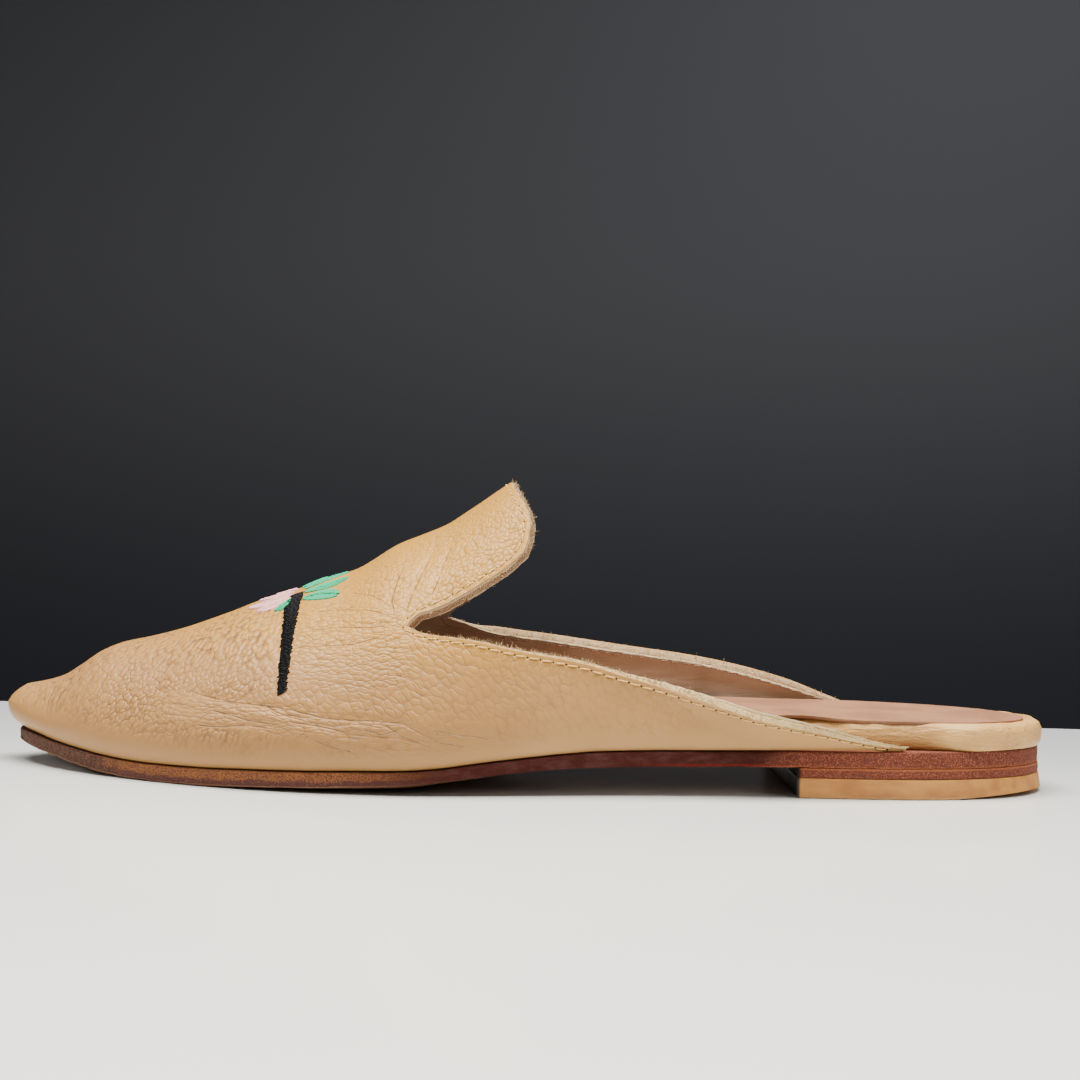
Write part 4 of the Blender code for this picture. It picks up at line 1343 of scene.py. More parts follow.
def strands(name: str, paths: Array, radii: Array, sides: int, material: Material,
            ups: Array | None = None) -> Object:
    """Many short threads as one mesh of closed tubes.

    Args:
        name: The piece's name.
        paths: One row of points for each thread.
        radii: The thread's radius at each point.
        sides: Sides of each tube.
        material: The thread's material.
        ups: A direction across each thread, from which the sides of its tube are counted.
    """
    count, steps = paths.shape[:2]
    tangent = unit(np.gradient(paths, axis=1))
    if ups is None:
        ups = np.tile([0.3, 0.5, 0.8], (count, 1))
    aside = unit(np.cross(tangent, ups[:, None, :]))
    over = np.cross(aside, tangent)
    angles = 2 * np.pi * np.arange(sides) / sides
    ring = aside[:, :, None] * np.cos(angles)[:, None] + over[:, :, None] * np.sin(angles)[:, None]
    vertices = paths[:, :, None] + ring * radii[:, :, None, None]
    faces = []
    for i in range(count):
        start = i * steps * sides
        for j in range(steps - 1):
            a, b = start + j * sides, start + (j + 1) * sides
            for k in range(sides):
                m = (k + 1) % sides
                faces.append((a + k, b + k, b + m, a + m))
        faces.append(tuple(start + k for k in range(sides)))
        end = start + (steps - 1) * sides
        faces.append(tuple(end + k for k in reversed(range(sides))))
    item = new_object(name, vertices.reshape(-1, 3), faces, [material])
    lengths = np.linalg.norm(np.diff(paths, axis=1), axis=2)
    along = np.concatenate([np.zeros((count, 1)), np.cumsum(lengths, 1)], 1)
    along += np.random.default_rng(count).uniform(0.0, 1.0, (count, 1))
    set_attribute(item.data, "along", np.repeat(along[:, :, None], sides, 2))
    set_attribute(item.data, "around", np.broadcast_to(angles / (2 * np.pi), (count, steps, sides)))
    return item


@dataclass
class Stitching:
    """The row of lock stitches along the topline, with dark tubes in its holes as painted shade, and the row
    on the lining.
    """

    surface: Surface
    topline: Array
    pitch: float = 3.05
    thread: float = 0.17
    hole: float = 0.26
    wing_inset: float = 1.6
    rear_inset: float = 1.15
    tab_inset: float = 1.95
    lift: float = 0.26
    lining_lift: float = 0.1
    lining_thread: float = 0.14
    corner_steps: int = 8
    corner_bulge: float = 0.8

    def inset_at(self, points: Array) -> Array:
        """Distance of the stitches from the cut edge, which is widest on the tab."""
        wing_top = WINGS[Side.LATERAL].at("edge", points[:, 0])
        on_tab = ease(points[:, 2] - wing_top, 1, 6) * (points[:, 0] < 140)
        wing = self.wing_inset + (self.rear_inset - self.wing_inset) * ease(points[:, 0], 160, 195)
        return wing + (self.tab_inset - wing) * on_tab

    def line(self) -> Array:
        """The line of the stitches: the topline moved into the leather."""
        edge = resample(self.topline, 0.5)
        places, normals = self.surface.drop(edge)
        inwards = unit(np.cross(normals, unit(np.gradient(edge, axis=0))))
        insets = self.inset_at(edge)
        found, wanted = [], []
        for i in range(len(edge) - 1):
            turn = float(inwards[i] @ inwards[i + 1])
            steps = 1 if turn > 0.9 else self.corner_steps
            for j in range(steps):
                t = j / steps
                way = inwards[i] * (1 - t) + inwards[i + 1] * t
                if steps > 1:
                    way = way - np.array([self.corner_bulge, 0.0, 0.0]) * math.sin(math.pi * t)
                found.append(places[i] + way / np.linalg.norm(way) * insets[i])
                wanted.append(insets[i])
        placed, _ = self.surface.drop(np.array(found))
        near = make_kd(resample(self.topline, 0.2))
        return placed[nearest(near, placed)[1] > np.array(wanted) * 0.93]

    def row(self, name: str, holes: Array, normals: Array, lift: float, radius: float,
            material: Material) -> Object:
        """One thread over each step between two holes."""
        steps = 7
        t = np.linspace(0.0, 1.0, steps)[None, :, None]
        start, end = holes[:-1, None], holes[1:, None]
        up = unit((normals[:-1] + normals[1:]) / 2)
        aside = unit(np.cross(up, holes[1:] - holes[:-1]))
        paths = start + (end - start) * (0.07 + 0.86 * t)
        arch = np.sin(np.pi * t) ** 0.6
        paths = paths + up[:, None] * (lift * (arch - 0.45))
        paths = paths + aside[:, None] * (0.3 * (t - 0.5))
        radii = radius * np.broadcast_to(0.5 + 0.5 * np.sin(np.pi * t[..., 0]) ** 0.5, paths.shape[:2])
        return strands(name, paths, radii, 6, material, up)

    def build(self) -> list[Object]:
        """Make the stitches on both faces, and dark tubes as painted shade in the holes between them."""
        holes = resample(self.line(), self.pitch)
        holes, normals = self.surface.drop(holes)
        back = holes - normals * (Upper.wall_at(holes)[:, None] + 0.02)
        cream = Thread("cream_thread", shade(234, 192, 116), shade(160, 114, 62)).build()
        brown = Thread("lining_thread", shade(164, 128, 100), shade(90, 62, 44)).build()
        outside = self.row("topline_stitches", holes, normals, self.lift, self.thread, cream)
        inside = self.row("lining_stitches", back, -normals, self.lining_lift, self.lining_thread, brown)
        steps = np.array([-0.14, -0.01, 0.03])
        paths = holes[:, None] + normals[:, None] * steps[None, :, None]
        radii = np.tile([self.hole * 0.8, self.hole, self.hole * 0.45], (len(holes), 1))
        # Painted shade: a dark tube in each needle hole stands for the shade inside it.
        dark = Thread("needle_hole_shade", shade(62, 40, 26), shade(38, 22, 14), 0.9, 0).build()
        along = np.gradient(holes, axis=0)
        hole_shades = strands("stitch_hole_shades", paths, radii, 8, dark, along)
        return [outside, inside, hole_shades]


@dataclass
class EdgeFibres:
    """Short leather fibres that stand out of the raw cut edge."""

    surface: Surface
    topline: Array
    count: int = 3200
    longest: float = 1.0
    radii: tuple[float, ...] = (0.06, 0.05, 0.035, 0.012)

    def build(self) -> Object:
        """Make the fibres as thin curved spikes, most of them along the outer wing."""
        generator = np.random.default_rng(11)
        edge = resample(self.topline, 0.25)
        places, normals = self.surface.drop(edge)
        outwards = unit(np.cross(unit(np.gradient(edge, axis=0)), normals))
        station, lateral = places[:, 0], places[:, 1] < 0
        weight = np.where(lateral, 0.25 + 1.6 * ease(station, 112, 124) * (1 - ease(station, 168, 186)), 0.4)
        weight = np.where(station > 218, 0.05, weight)
        chosen = generator.choice(len(places), self.count, p=weight / weight.sum())
        across = generator.uniform(0.12, 0.66, self.count)
        root = places[chosen] - normals[chosen] * (across * Upper.wall)[:, None]
        root -= outwards[chosen] * (0.15 + Upper.slant_at(places[chosen]) * (1 - 2 * across))[:, None]
        way = unit(outwards[chosen] + generator.normal(0.0, 0.55, (self.count, 3)))
        bend = generator.normal(0.0, 0.4, (self.count, 3))
        length = self.longest * generator.uniform(0.15, 1.0, self.count) ** 1.4
        steps = np.array([0.0, 0.4, 0.75, 1.0])
        paths = root[:, None] + (way[:, None] * steps[None, :, None]
                                 + bend[:, None] * (steps ** 2)[None, :, None]) * length[:, None, None]
        radii = np.tile(self.radii, (self.count, 1))
        cream = Thread("edge_fibre", shade(228, 198, 150), shade(212, 178, 126), 0.9, 0).build()
        return strands("edge_fibres", paths, radii, 3, cream)


@dataclass(frozen=True)
class SatinLeaf:
    """One leaf or petal of satin stitches, seen from above, that slant back from a middle vein.

    Attributes:
        root: (station, y) of its foot.
        tip: (station, y) of its point.
        width: Width across its broadest place.
        bend: How far its vein bows sideways.
        vein: Half of the gap along its vein.
    """

    root: tuple[float, float]
    tip: tuple[float, float]
    width: float
    bend: float = 0.8
    vein: float = 0.12

    def threads(self, pitch: float) -> list[tuple[Array, Array]]:
        """Both ends of each stitch on the plan."""
        root, tip = np.array(self.root), np.array(self.tip)
        run = tip - root
        length = float(np.linalg.norm(run))
        way = run / length
        aside = np.array([-way[1], way[0]])
        found = []
        count = int(length / pitch)
        for side in (-1, 1):
            for i in range(count):
                t = (i + 0.5) / count
                half = self.width / 2 * math.sin(math.pi * min(1.0, t * 0.93 + 0.05)) ** 0.75
                start = root + run * t + aside * self.bend * math.sin(math.pi * t) + aside * side * self.vein
                lean = way * (0.32 * half + 0.5)
                found.append((start, start + aside * side * half + lean))
        return found


@dataclass
class Embroidery:
    """A small budding sprig over the toe: black stem, mint leaves and a pale bud.

    The rows of the stem give the stations of its front and rear edges, and their turn.
    """

    surface: Surface
    shape: LastShape
    thread: float = 0.21
    pitch: float = 0.34
    stem_pitch: float = 0.27
    leaf_lift: float = 0.3
    raised_lift: float = 0.34
    leaves: tuple[SatinLeaf, ...] = (
        SatinLeaf((77.6, -10.5), (86.5, -14.5), 4.4, 0.7),
        SatinLeaf((77.4, -6.5), (87.5, -5.2), 4.8, -0.8),
        SatinLeaf((77, -3), (86.5, 3.2), 4.8, 0.8),
        SatinLeaf((76, 0.5), (80, 9.5), 4.4, -0.6),
        SatinLeaf((74.4, -7.6), (71.6, -12.2), 2.8, 0.4),
    )
    petals: tuple[SatinLeaf, ...] = (
        SatinLeaf((74.6, -4.6), (63.8, -4.6), 4.6, 0.5),
        SatinLeaf((74.4, -6.8), (66.6, -9.2), 3.6, 0.7),
        SatinLeaf((74.4, -2.2), (65.4, 1.4), 4.2, -0.7),
        SatinLeaf((74.6, 0.2), (69, 6), 3.6, -0.6),
    )
    stem: tuple[tuple[float, float, float], ...] = (
        (73.9, 76.6, 73), (73.8, 76.7, 68), (74.1, 76.8, 62), (74.7, 77, 55),
        (75.3, 77.2, 47), (75.8, 77.4, 39), (76.2, 77.5, 32), (76.6, 77.5, 26.5), (76.8, 77.4, 24.2),
    )

    def lay(self, name: str, ends: list[tuple[Array, Array]], lift: float, material: Material) -> Object:
        """Lay one thread over the leather between each pair of places on it."""
        steps = np.linspace(0.0, 1.0, 9)
        starts = np.array([start for start, _ in ends])
        finishes = np.array([finish for _, finish in ends])
        flat = starts[:, None] + (finishes - starts)[:, None] * steps[None, :, None]
        placed, normals = self.surface.drop(flat.reshape(-1, 3))
        generator = np.random.default_rng(len(ends))
        arch = np.sin(np.pi * steps) ** 0.5 * lift - 0.1
        jitter = generator.normal(0.0, 0.03, (len(ends), 1))
        rise = (arch[None] + jitter).reshape(-1, 1)
        paths = (placed + normals * rise).reshape(flat.shape)
        ups = normals.reshape(flat.shape)[:, 4]
        radii = np.full(flat.shape[:2], self.thread)
        return strands(name, paths, radii, 6, material, ups)

    def leaf_ends(self, leaves: tuple[SatinLeaf, ...]) -> list[tuple[Array, Array]]:
        """Ends of the stitches of some leaves, on the leather."""
        found = []
        for leaf in leaves:
            for start, finish in leaf.threads(self.pitch):
                found.append(tuple(self.surface.from_above(np.array([start, finish]))))
        return found

    def stem_ends(self) -> list[tuple[Array, Array]]:
        """Ends of the stem's stitches: a little uneven towards the toe, spiky towards the heel."""
        rows = np.array(self.stem)
        left = self.shape.skin(rows[:, 0], Side.LATERAL, rows[:, 2])
        right = self.shape.skin(rows[:, 1], Side.LATERAL, rows[:, 2])
        length = run_length(left)
        count = int(length / self.stem_pitch)
        generator = np.random.default_rng(5)
        left, right = resample(left, length / count), resample(right, length / count)
        count = min(len(left), len(right))
        found = []
        for i in range(count):
            spike = generator.uniform(0.4, 0.95) if i % 2 == 0 else generator.uniform(-0.3, 0.0)
            nib = generator.uniform(0.35, 0.8) if i % 2 == 1 else generator.uniform(-0.15, 0.05)
            lower = left[i] + np.array([-nib, -0.14, -0.12])
            found.append((lower, right[i] + np.array([spike, 0.12, 0.14])))
        return found

    def build(self) -> list[Object]:
        """Make the stem, the leaves and the bud."""
        black = Thread("black_silk", shade(10, 9, 14), shade(4, 4, 6), 0.55, 0.1).build()
        mint = Thread("mint_silk", shade(22, 168, 120), shade(8, 104, 74), 0.45, 0.2).build()
        pale = Thread("pale_silk", shade(222, 166, 166), shade(166, 108, 108), 0.5, 0.2).build()
        return [
            self.lay("sprig_stem", self.stem_ends(), self.raised_lift, black),
            self.lay("sprig_leaves", self.leaf_ends(self.leaves), self.leaf_lift, mint),
            self.lay("sprig_bud", self.leaf_ends(self.petals), self.raised_lift, pale),
        ]


@dataclass(frozen=True)
class Ring:
    """One ring round a plate.

    Attributes:
        inset: How far it lies inside the plate's plan.
        share: Its height, as a share of the plate's edge.
        closing: How far it has closed towards the plate's middle line, from 0 to 1.
    """

    inset: float
    share: float
    closing: float = 0.0


@dataclass
class Plate:
    """A flat layer of the shoe, built as rings from the middle of its underside over its edge.

    Attributes:
        name: The piece's name.
        loop: Its plan, as a closed loop of (station, y).
        rings: Its rings, from the bottom's middle line to the top's.
        height: The height of a place, from its station, y, inset and share.
        shift: An inset of its own for each point of the plan and height share.
        reach: The stations between which its middle line runs.
        wide_inset: Insets from here on are less at the toe, where the plate is narrow.
    """

    name: str
    loop: Array
    rings: tuple[Ring, ...]
    height: Callable
    shift: Callable
    reach: tuple[float, float]
    wide_inset: float = 4.0

    def build(self, materials: list, relief: Callable | None = None) -> Object:
        """Make the plate as one closed mesh.

        Args:
            materials: The plate's materials.
            relief: Moves its points, from points, normals and height shares.
        """
        columns = len(self.loop)
        loop = np.vstack([self.loop, self.loop[:1]])
        target_s = np.clip(loop[:, 0], *self.reach)
        middle = (PLAN.at("lateral", target_s) + PLAN.at("medial", target_s)) / 2
        grid = np.zeros((len(self.rings), columns + 1, 3))
        share = np.zeros(grid.shape[:2])
        narrowing = 0.3 + 0.7 * ease(self.loop[:, 0], 12, 60)
        for i, ring in enumerate(self.rings):
            inset = ring.inset * narrowing if ring.inset >= self.wide_inset else ring.inset
            moved = move_loop(self.loop, inset + self.shift(self.loop, ring.share))
            moved = np.vstack([moved, moved[:1]])
            s = moved[:, 0] + (target_s - moved[:, 0]) * ring.closing
            y = moved[:, 1] + (middle - moved[:, 1]) * ring.closing
            grid[i] = np.stack([s, y, self.height(s, y, ring.inset, ring.share)], 1)
            outside = 0.1 * ring.inset + ring.closing
            share[i] = ring.share - outside if ring.share <= 0.5 else ring.share + outside
        item = add_grid(self.name, grid)
        set_attribute(item.data, "share", share.T)
        weld(outwards=True)
        if relief is not None:
            points, normals = get_points(item.data), get_normals(item.data)
            set_points(item.data, relief(points, normals, get_attribute(item.data, "share")))
        for material in materials:
            item.data.materials.append(material)
        pick_only(item)
        bpy.ops.object.shade_smooth_by_angle(angle=math.radians(40))
        return item


@dataclass
class Outsole:
    """The worn leather sole, with its toe spring, raised waist and scuffed edge."""

    steps: int = 440
    rear_overhang: float = 0.85
    seat_overhang: float = 0.32
    under: tuple[tuple[float, float], ...] = ((9.0, 0.0), (4.5, 0.35), (0.5, 1.0))

    def height(self, s: Array, y: Array, inset: float, share: float) -> Array:
        """Height of a place on the outsole."""
        bottom, rise, top = SOLE.at("bottom", s), SOLE.at("edge_rise", s), SOLE.at("top", s)
        insets = np.array([-row[0] for row in self.under])
        lift = np.interp(-inset, insets, np.array([row[1] for row in self.under]))
        if share <= 0.05:
            return bottom + rise * lift
        return bottom + rise + (top - bottom - rise) * share

    def shift(self, loop: Array, share: float) -> Array:
        """Inset of its own: the heel seat stands out a little to meet the heel under it."""
        seat = self.seat_overhang * (1 - ease(share, 0, 0.12)) * ease(loop[:, 0], 199, 204)
        return -self.rear_overhang * ease(loop[:, 0], 226, 252) - seat

    def relief(self, points: Array, normals: Array, share: Array) -> Array:
        """Scuffs and small nicks, deepest along the lower edge at the toe."""
        on_edge = ease(share, -0.12, 0.05) * (1 - ease(share, 0.98, 1.1))
        low = ease(share, 0.5, 0.05) * ease(share, -0.2, 0)
        fine = 0.1 * rough(points, 1.1, 21) + 0.12 * rough(points, 3.5, 23)
        nicks = np.maximum(0, rough(points * (1, 1, 2), 1.9, 29) - 0.15)
        toe = 1 - ease(points[:, 0], 10, 60)
        depth = fine * on_edge - nicks * low * (0.35 + 0.9 * toe) - 0.05
        moved = points + normals * depth[:, None]
        lowest = SOLE.at("bottom", points[:, 0])
        moved[:, 2] = np.where(share < 0.0, np.maximum(moved[:, 2], lowest), moved[:, 2])
        return moved

    def build(self) -> Object:
        """Make the outsole."""
        rings = (
            *(Ring(9, 0, closing) for closing in (1, 0.8, 0.6, 0.42, 0.26, 0.12)),
            *(Ring(inset, 0) for inset in (9, 6.5, 4.5, 3.2, 2.2, 1.4, 0.8, 0.45)),
            Ring(0.2, 0.06), Ring(0.06, 0.12),
            *(Ring(0, share) for share in (0.2, 0.28, 0.36, 0.44, 0.52, 0.6, 0.68, 0.76, 0.84)),
            Ring(0.03, 0.91), Ring(0.15, 0.97), Ring(0.4, 1), Ring(2.5, 1),
            Ring(6, 1), Ring(6, 1, 0.4), Ring(6, 1, 1),
        )
        plate = Plate("outsole_worn", plan_loop(self.steps), rings, self.height, self.shift, (20, 246))
        return plate.build([SoleLeather().build()], self.relief)


@dataclass
class HeelStack:
    """The stacked heel: one leather lift and a rubber top piece with a worn rear corner."""

    breast: float = 198.0
    lift_bottom: float = 4.9
    flare: float = 1.5
    flare_run: tuple[float, float] = (218.0, 254.0)
    flares: tuple[float, float, float] = (0.6, 0.75, 1.25)
    breast_hollow: float = 0.5
    lift_roughness: float = 0.14
    top_roughness: float = 0.15
    wear_rise: float = 1.3
    wear_run: float = 13.0
    wear_heading: float = 35.0
    wear_corner: tuple[float, float] = (261.5, -10.0)
    joint: float = 0.04
    steps: int = 190
    front_steps: int = 60

    def plan(self) -> Array:
        """Plan of the heel: along the outer side to the rear, back inside and across the breast."""
        reach = SOLE_REAR - self.breast
        stations = self.breast + reach * np.sin(np.pi / 2 * np.arange(self.steps + 1) / self.steps)
        outer = np.stack([stations, PLAN.at("lateral", stations)], 1)
        inner = np.stack([stations, PLAN.at("medial", stations)], 1)[-2::-1]
        t = np.arange(1, self.front_steps)[:, None] / self.front_steps
        front = inner[-1] + (outer[0] - inner[-1]) * t
        return np.vstack([outer, inner, front])

    def worn(self, s: Array, y: Array) -> Array:
        """Height of the worn corner's slope over a place."""
        heading = math.radians(self.wear_heading)
        slope = self.wear_rise / self.wear_run
        ahead = math.cos(heading) * (s - self.wear_corner[0]) - math.sin(heading) * (y - self.wear_corner[1])
        return self.wear_rise + slope * ahead

    def layer(self, name: str, low: Callable, high: Callable, flares: tuple[float, float], rings: tuple,
              material: Material, roughness: float) -> Object:
        """Make one layer of the heel."""
        def height(s: Array, y: Array, inset: float, share: float) -> Array:
            """Height of a place, over the worn corner's slope."""
            level = low(s) + (high(s) - low(s)) * share
            return np.maximum(level, self.worn(s, y)) if share < 0.5 else level

        def shift(loop: Array, share: float) -> Array:
            """Inset at each point: outwards at the rear, and hollow across the breast."""
            flare = flares[0] + (flares[1] - flares[0]) * min(max(share, 0.0), 1.0)
            rear = -self.flare * flare * ease(loop[:, 0], *self.flare_run)
            middle = 1 - ease(np.abs(loop[:, 1]), 4, 26)
            return rear + self.breast_hollow * middle * (loop[:, 0] < self.breast + 0.01)

        def relief(points: Array, normals: Array, share: Array) -> Array:
            """Unevenness and chips of the edge."""
            on_edge = ease(share, -0.1, 0.05) * (1 - ease(share, 0.95, 1.05))
            fine = rough(points, 0.9, 41) * 0.5 + rough(points, 3.2, 43) * 0.5
            chips = np.maximum(0, rough(points, 1.6, 47) - 0.2) * ease(share, 0.4, 0.05)
            depth = (fine * roughness - chips * 3.0 * roughness - 0.04) * on_edge
            return points + normals * depth[:, None] * (1.0, 1.0, 0.0)

        plate = Plate(name, self.plan(), rings, height, shift, (214, 240))
        return plate.build([material], relief)

    def build(self) -> list[Object]:
        """Make the lift and the top piece."""
        closings = (1.0, 0.75, 0.5, 0.28, 0.1)
        sides = (0.14, 0.24, 0.34, 0.44, 0.54, 0.64, 0.74, 0.84, 0.93)
        lift_rings = (
            *(Ring(0.5, 0, closing) for closing in closings), Ring(0.5, 0), Ring(0.12, 0.02),
            *(Ring(0, share) for share in sides), Ring(0.03, 0.985), Ring(0.15, 1),
            *(Ring(0.5, 1, closing) for closing in reversed(closings)),
        )
        top_rings = (
            *(Ring(0.9, 0, closing) for closing in closings), Ring(0.9, 0), Ring(0.4, 0.01),
            Ring(0.1, 0.07), *(Ring(0, share) for share in sides), Ring(0.1, 0.98), Ring(0.5, 1),
            *(Ring(0.5, 1, closing) for closing in reversed(closings)),
        )
        high, middle, low = self.flares
        lift = self.layer(
            "heel_lift_worn", lambda s: s * 0 + self.lift_bottom,
            lambda s: SOLE.at("bottom", s) - self.joint, (middle, high), lift_rings,
            # the lift's front face gets the painted shade in full
            SoleLeather("lift_leather", breast_shade=1.0, joint_share=(0.8, 1.2)).build(),
            self.lift_roughness)
        top_piece = self.layer(
            "top_piece_worn", lambda s: s * 0, lambda s: s * 0 + self.lift_bottom - self.joint,
            (low, middle), top_rings, HeelRubber().build(), self.top_roughness)
        return [lift, top_piece]


@dataclass
class Insole:
    """The insole board, wrapped in the upper's leather where the heel is open, and the sock on it."""

    steps: int = 400
    open_heel: float = 1.7
    feather_inset: float = 1.0
    board_gap: float = 0.55
    sock_gap: float = 0.7
    sock_inset: float = 4.4
    sock_rear: float = 1.7
    sock_thickness: float = 0.9
    sock_wave: float = 0.12
    sock_loose: float = 0.8
    sunk: float = 0.9
    wrap: tuple[tuple[float, float], ...] = (
        (0.9, 0.0), (0.2, 0.12), (0.0, 0.4), (0.15, 0.66), (0.7, 0.85), (1.8, 0.96), (3.2, 1.0),
    )

    def board_shift(self, loop: Array, share: float) -> Array:
        """Inset of the board: inside the upper's wall, and over the sole's edge at the open heel."""
        end = np.where(loop[:, 1] < 0, WING_END[Side.LATERAL], WING_END[Side.MEDIAL])
        bare = ease(loop[:, 0] - end, 1, 20)
        return (self.feather_inset + Upper.wall + self.board_gap) * (1 - bare) - self.open_heel * bare

    def board_height(self, s: Array, y: Array, inset: float, share: float) -> Array:
        """Height of a place on the board."""
        bottom = SOLE.at("top", s) + 0.06
        sunk = self.sunk * ease(s, 150, 215) * (1 - ease(inset, 2.5, 12.5)) if share >= 1 else 0
        return bottom + (SOLE.at("insole", s) + 0.24) * share - sunk

    def board_relief(self, points: Array, normals: Array, share: Array) -> Array:
        """Puckers of the wrapping leather around the open heel."""
        folds = points * (0.35, 1.0, 2.2)
        dents = rough(folds, 3.2, 61) * 0.22 + rough(folds, 1.3, 63) * 0.07
        on_edge = ease(share, -0.1, 0.15) * ease(points[:, 0], 150, 200)
        return points + normals * (dents * on_edge)[:, None]

    def sock_shift(self, loop: Array, share: float) -> Array:
        """Inset of the sock from the sole's plan."""
        bare = ease(loop[:, 0], 150, 200)
        inset = (self.feather_inset + Upper.wall + self.sock_gap) * (1 - bare) + self.sock_inset * bare
        inset = inset - self.sock_rear * ease(loop[:, 0], 225, 245)
        return inset + self.sock_wave * np.sin(loop[:, 0] * 0.9) * ease(loop[:, 0], 150, 170)

    def sock_height(self, s: Array, y: Array, inset: float, share: float) -> Array:
        """Height of a place on the sock."""
        top = SOLE.at("top", s) + GAP + SOLE.at("insole", s)
        sunk = self.sunk * ease(s, 150, 215) * (1 - ease(inset, 0, 9))
        loose = self.sock_loose * np.exp(-((s - 199) / 9) ** 2) * ease(-y, 12, 22)
        return top + 0.05 - sunk + self.sock_thickness * share + loose

    def build(self) -> list[Object]:
        """Make the board and the sock."""
        side_rings = []
        for (inset, share), (next_inset, next_share) in zip(self.wrap, self.wrap[1:]):
            side_rings.append(Ring(inset, share))
            side_rings.append(Ring((inset + next_inset) / 2, (share + next_share) / 2))
        rings = (
            Ring(8, 0, 1), Ring(8, 0, 0.4), Ring(8, 0), *side_rings, Ring(3.2, 1),
            Ring(8.5, 1), *(Ring(13.5, 1, closing) for closing in (0, 0.3, 0.65, 1)),
        )
        loop = plan_loop(self.steps)
        board = Plate("rand_wrap", loop, rings, self.board_height, self.board_shift, (30, 238))
        sock_rings = (
            *(Ring(4, 0, closing) for closing in (1, 0.4, 0)), Ring(0.3, 0),
            Ring(0.05, 0.12), Ring(0, 0.35), Ring(0, 0.65), Ring(0.05, 0.88),
            *(Ring(inset, 1) for inset in (0.3, 1.2, 3, 6)),
            *(Ring(10, 1, closing) for closing in (0, 0.25, 0.5, 0.75, 1)),
        )
        sock = Plate("sock_sheet", loop, sock_rings, self.sock_height, self.sock_shift, (40, 232))
        return [board.build([RAND_FINISH.build()], self.board_relief), sock.build([SOCK_FINISH.build()])]


@dataclass(frozen=True)
class StudioSheet:
    """Plain finish of the pale floor or of the dark cloth behind it, with painted shade towards one end."""

    name: str
    near: Colour
    far: Colour
    shade_span: tuple[float, float]
    roughness: float
    specular: float = 0.5
    axis: str = "Y"

    def build(self) -> Material:
        """Make the material: painted shade darkens its tone a little towards the back, or downwards."""
        tree = Tree(self.name)
        away = tree.place((1, 1, 1)).axis(self.axis).step(*self.shade_span)
        colour = tree.paint(self.near, (away, self.far))
        return tree.surface(colour, self.roughness, self.specular)


WARM = (1.0, 0.97, 0.9)


@dataclass(frozen=True)
class Lamp:
    """A soft rectangular lamp aimed at a place, in metres, watts and degrees."""

    name: str
    place: tuple[float, float, float]
    target: tuple[float, float, float]
    size: tuple[float, float]
    power: float
    colour: Colour = WARM
    spread: float = 180.0

    def build(self) -> None:
        """Hang the lamp."""
        light = bpy.data.lights.new(self.name, "AREA")
        light.spread = math.radians(self.spread)
        light.shape = "RECTANGLE"
        light.size, light.size_y = self.size
        light.energy = self.power
        light.color = self.colour
        item = bpy.data.objects.new(self.name, light)
        item.location = self.place
        item.rotation_euler = (Vector(self.target) - Vector(self.place)).to_track_quat("-Z", "Y").to_euler()
        bpy.context.scene.collection.objects.link(item)


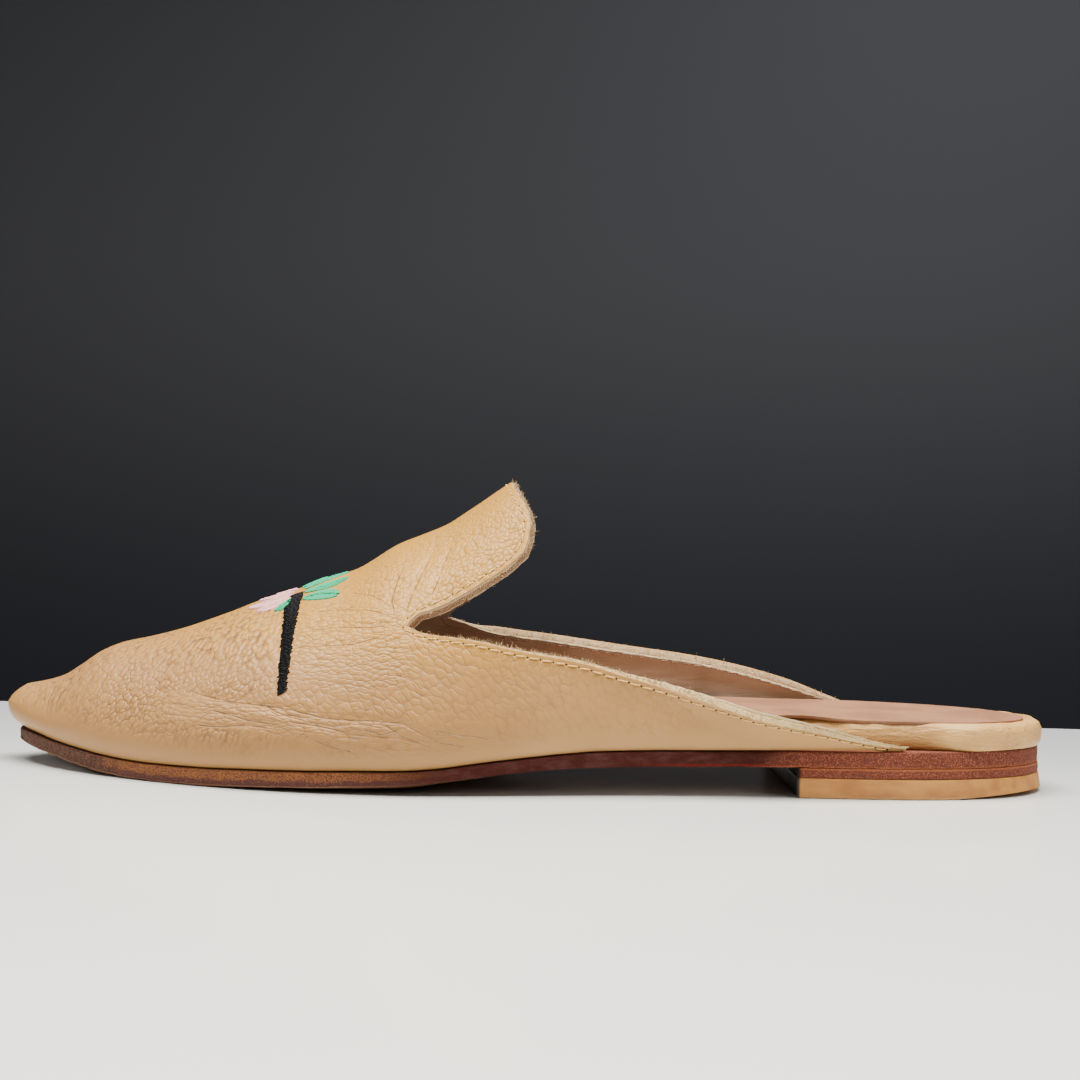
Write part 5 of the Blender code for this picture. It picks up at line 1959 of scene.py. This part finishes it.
@dataclass
class Studio:
    """The pale floor, the dark cloth that hangs behind its far edge, the soft lamps and the camera."""

    eye: tuple[float, float, float] = (3.9, -390.0, 59.3)
    roll: float = 1.5
    lens: float = 51.2
    floor_end: float = 0.13
    wall_at: float = 1.6
    drop: float = 0.35
    wall_height: float = 3.2
    floor_reach: float = 3.0
    half_width: float = 4.0
    glow: Colour = (1.0, 0.97, 0.92)
    glow_strength: float = 0.16
    # Painted shade: the floor is painted darker and bluer towards its far edge.
    floor: StudioSheet = StudioSheet(
        "studio_floor", shade(229, 230, 228), shade(182, 185, 190), (-0.1, 0.14), 0.16)
    # Painted shade: the cloth is painted darker towards the bottom.
    cloth: StudioSheet = StudioSheet(
        "studio_cloth", shade(37, 38, 44), shade(62, 63, 67), (-0.2, 0.45), 0.9, 0.1, "Z")
    lamps: tuple[Lamp, ...] = (
        Lamp("top_lamp", (0, -0.05, 1.05), (0, -0.1, 0), (1.2, 0.6), 54),
        Lamp("side_lamp", (-0.95, -0.4, 0.55), (-0.08, 0, 0.02), (0.3, 0.3), 3.2),
        Lamp("rear_lamp", (0.7, -0.6, 0.5), (0.1, 0, 0.02), (0.4, 0.4), 1.8),
        Lamp("wall_lamp", (0.8, 0.5, 1.7), (0.5, 1.6, 0.6), (0.6, 0.6), 12.5, (1, 0.99, 0.98), 120),
    )

    def backdrop(self) -> Object:
        """Floor and wall as one sheet: a plane whose far edge is drawn down, back and up."""
        bpy.ops.object.select_all(action="DESELECT")
        bpy.ops.mesh.primitive_plane_add(size=1.0)
        sheet = bpy.context.active_object
        sheet.name = sheet.data.name = "studio_sheet"
        for vertex in sheet.data.vertices:
            y = self.floor_end if vertex.co.y > 0 else -self.floor_reach
            vertex.co = (math.copysign(self.half_width, vertex.co.x), y, 0.0)
        behind = self.floor_end - 0.01
        corners = sheet.data.vertices
        select_edges(sheet.data, lambda edge: min(corners[i].co.y for i in edge.vertices) > behind)
        back = self.wall_at - self.floor_end
        for step in ((0.0, 0.0, -self.drop), (0.0, back, 0.0), (0.0, 0.0, self.wall_height)):
            bpy.ops.mesh.extrude_region_move(TRANSFORM_OT_translate={"value": step})
        bpy.ops.object.mode_set(mode="OBJECT")
        sheet.data.materials.append(self.floor.build())
        sheet.data.materials.append(self.cloth.build())
        for face in sheet.data.polygons:
            face.material_index = int(face.center.y > behind)
        return sheet

    def build(self) -> None:
        """Set the studio up."""
        self.backdrop()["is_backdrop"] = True
        world = bpy.data.worlds.new("studio_light")
        world.use_nodes = True
        background = world.node_tree.nodes["Background"]
        background.inputs["Color"].default_value = (*self.glow, 1.0)
        background.inputs["Strength"].default_value = self.glow_strength
        bpy.context.scene.world = world
        for lamp in self.lamps:
            lamp.build()
        lens = bpy.data.cameras.new("camera")
        lens.lens = self.lens
        lens.sensor_width = 36.0
        lens.clip_start = 0.01
        camera = bpy.data.objects.new("camera", lens)
        upright = Matrix.Rotation(math.radians(90), 4, "X")
        roll = Matrix.Rotation(math.radians(self.roll), 4, "Z")
        camera.matrix_world = Matrix.Translation(Vector(self.eye) * MM) @ upright @ roll
        bpy.context.scene.collection.objects.link(camera)
        bpy.context.scene.camera = camera


def settle(item: Object, node: str | None = None) -> None:
    """Fix a finished piece to the shoe and report it.

    Args:
        item: The piece.
        node: The plain solid that it stands for, where it stands for one.
    """
    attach(item, "root")
    if node is not None:
        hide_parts(node)
    LOG.info("%s: %d faces", item.name, len(item.data.polygons))


def main() -> None:
    """Build the shoe and its studio in order."""
    logging.basicConfig(level=logging.INFO, format="%(message)s")
    Studio().build()
    shape = LastShape()
    upper, surface, topline = Upper(shape).build()
    settle(upper, "upper")
    settle(Outsole().build(), "outsole")
    lift, top_piece = HeelStack().build()
    settle(lift, "heel_lift")
    settle(top_piece, "heel_top_piece")
    board, sock = Insole().build()
    settle(board, "insole")
    settle(sock, "sock")
    for item in (*Stitching(surface, topline).build(), EdgeFibres(surface, topline).build(),
                 *Embroidery(surface, shape).build()):
        settle(item)


if __name__ == "__main__":
    main()
    boxes = {"cad": CAD_BOX, "visual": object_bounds()}
    {name: [[float(v) for v in corner] for corner in box] for name, box in boxes.items()}
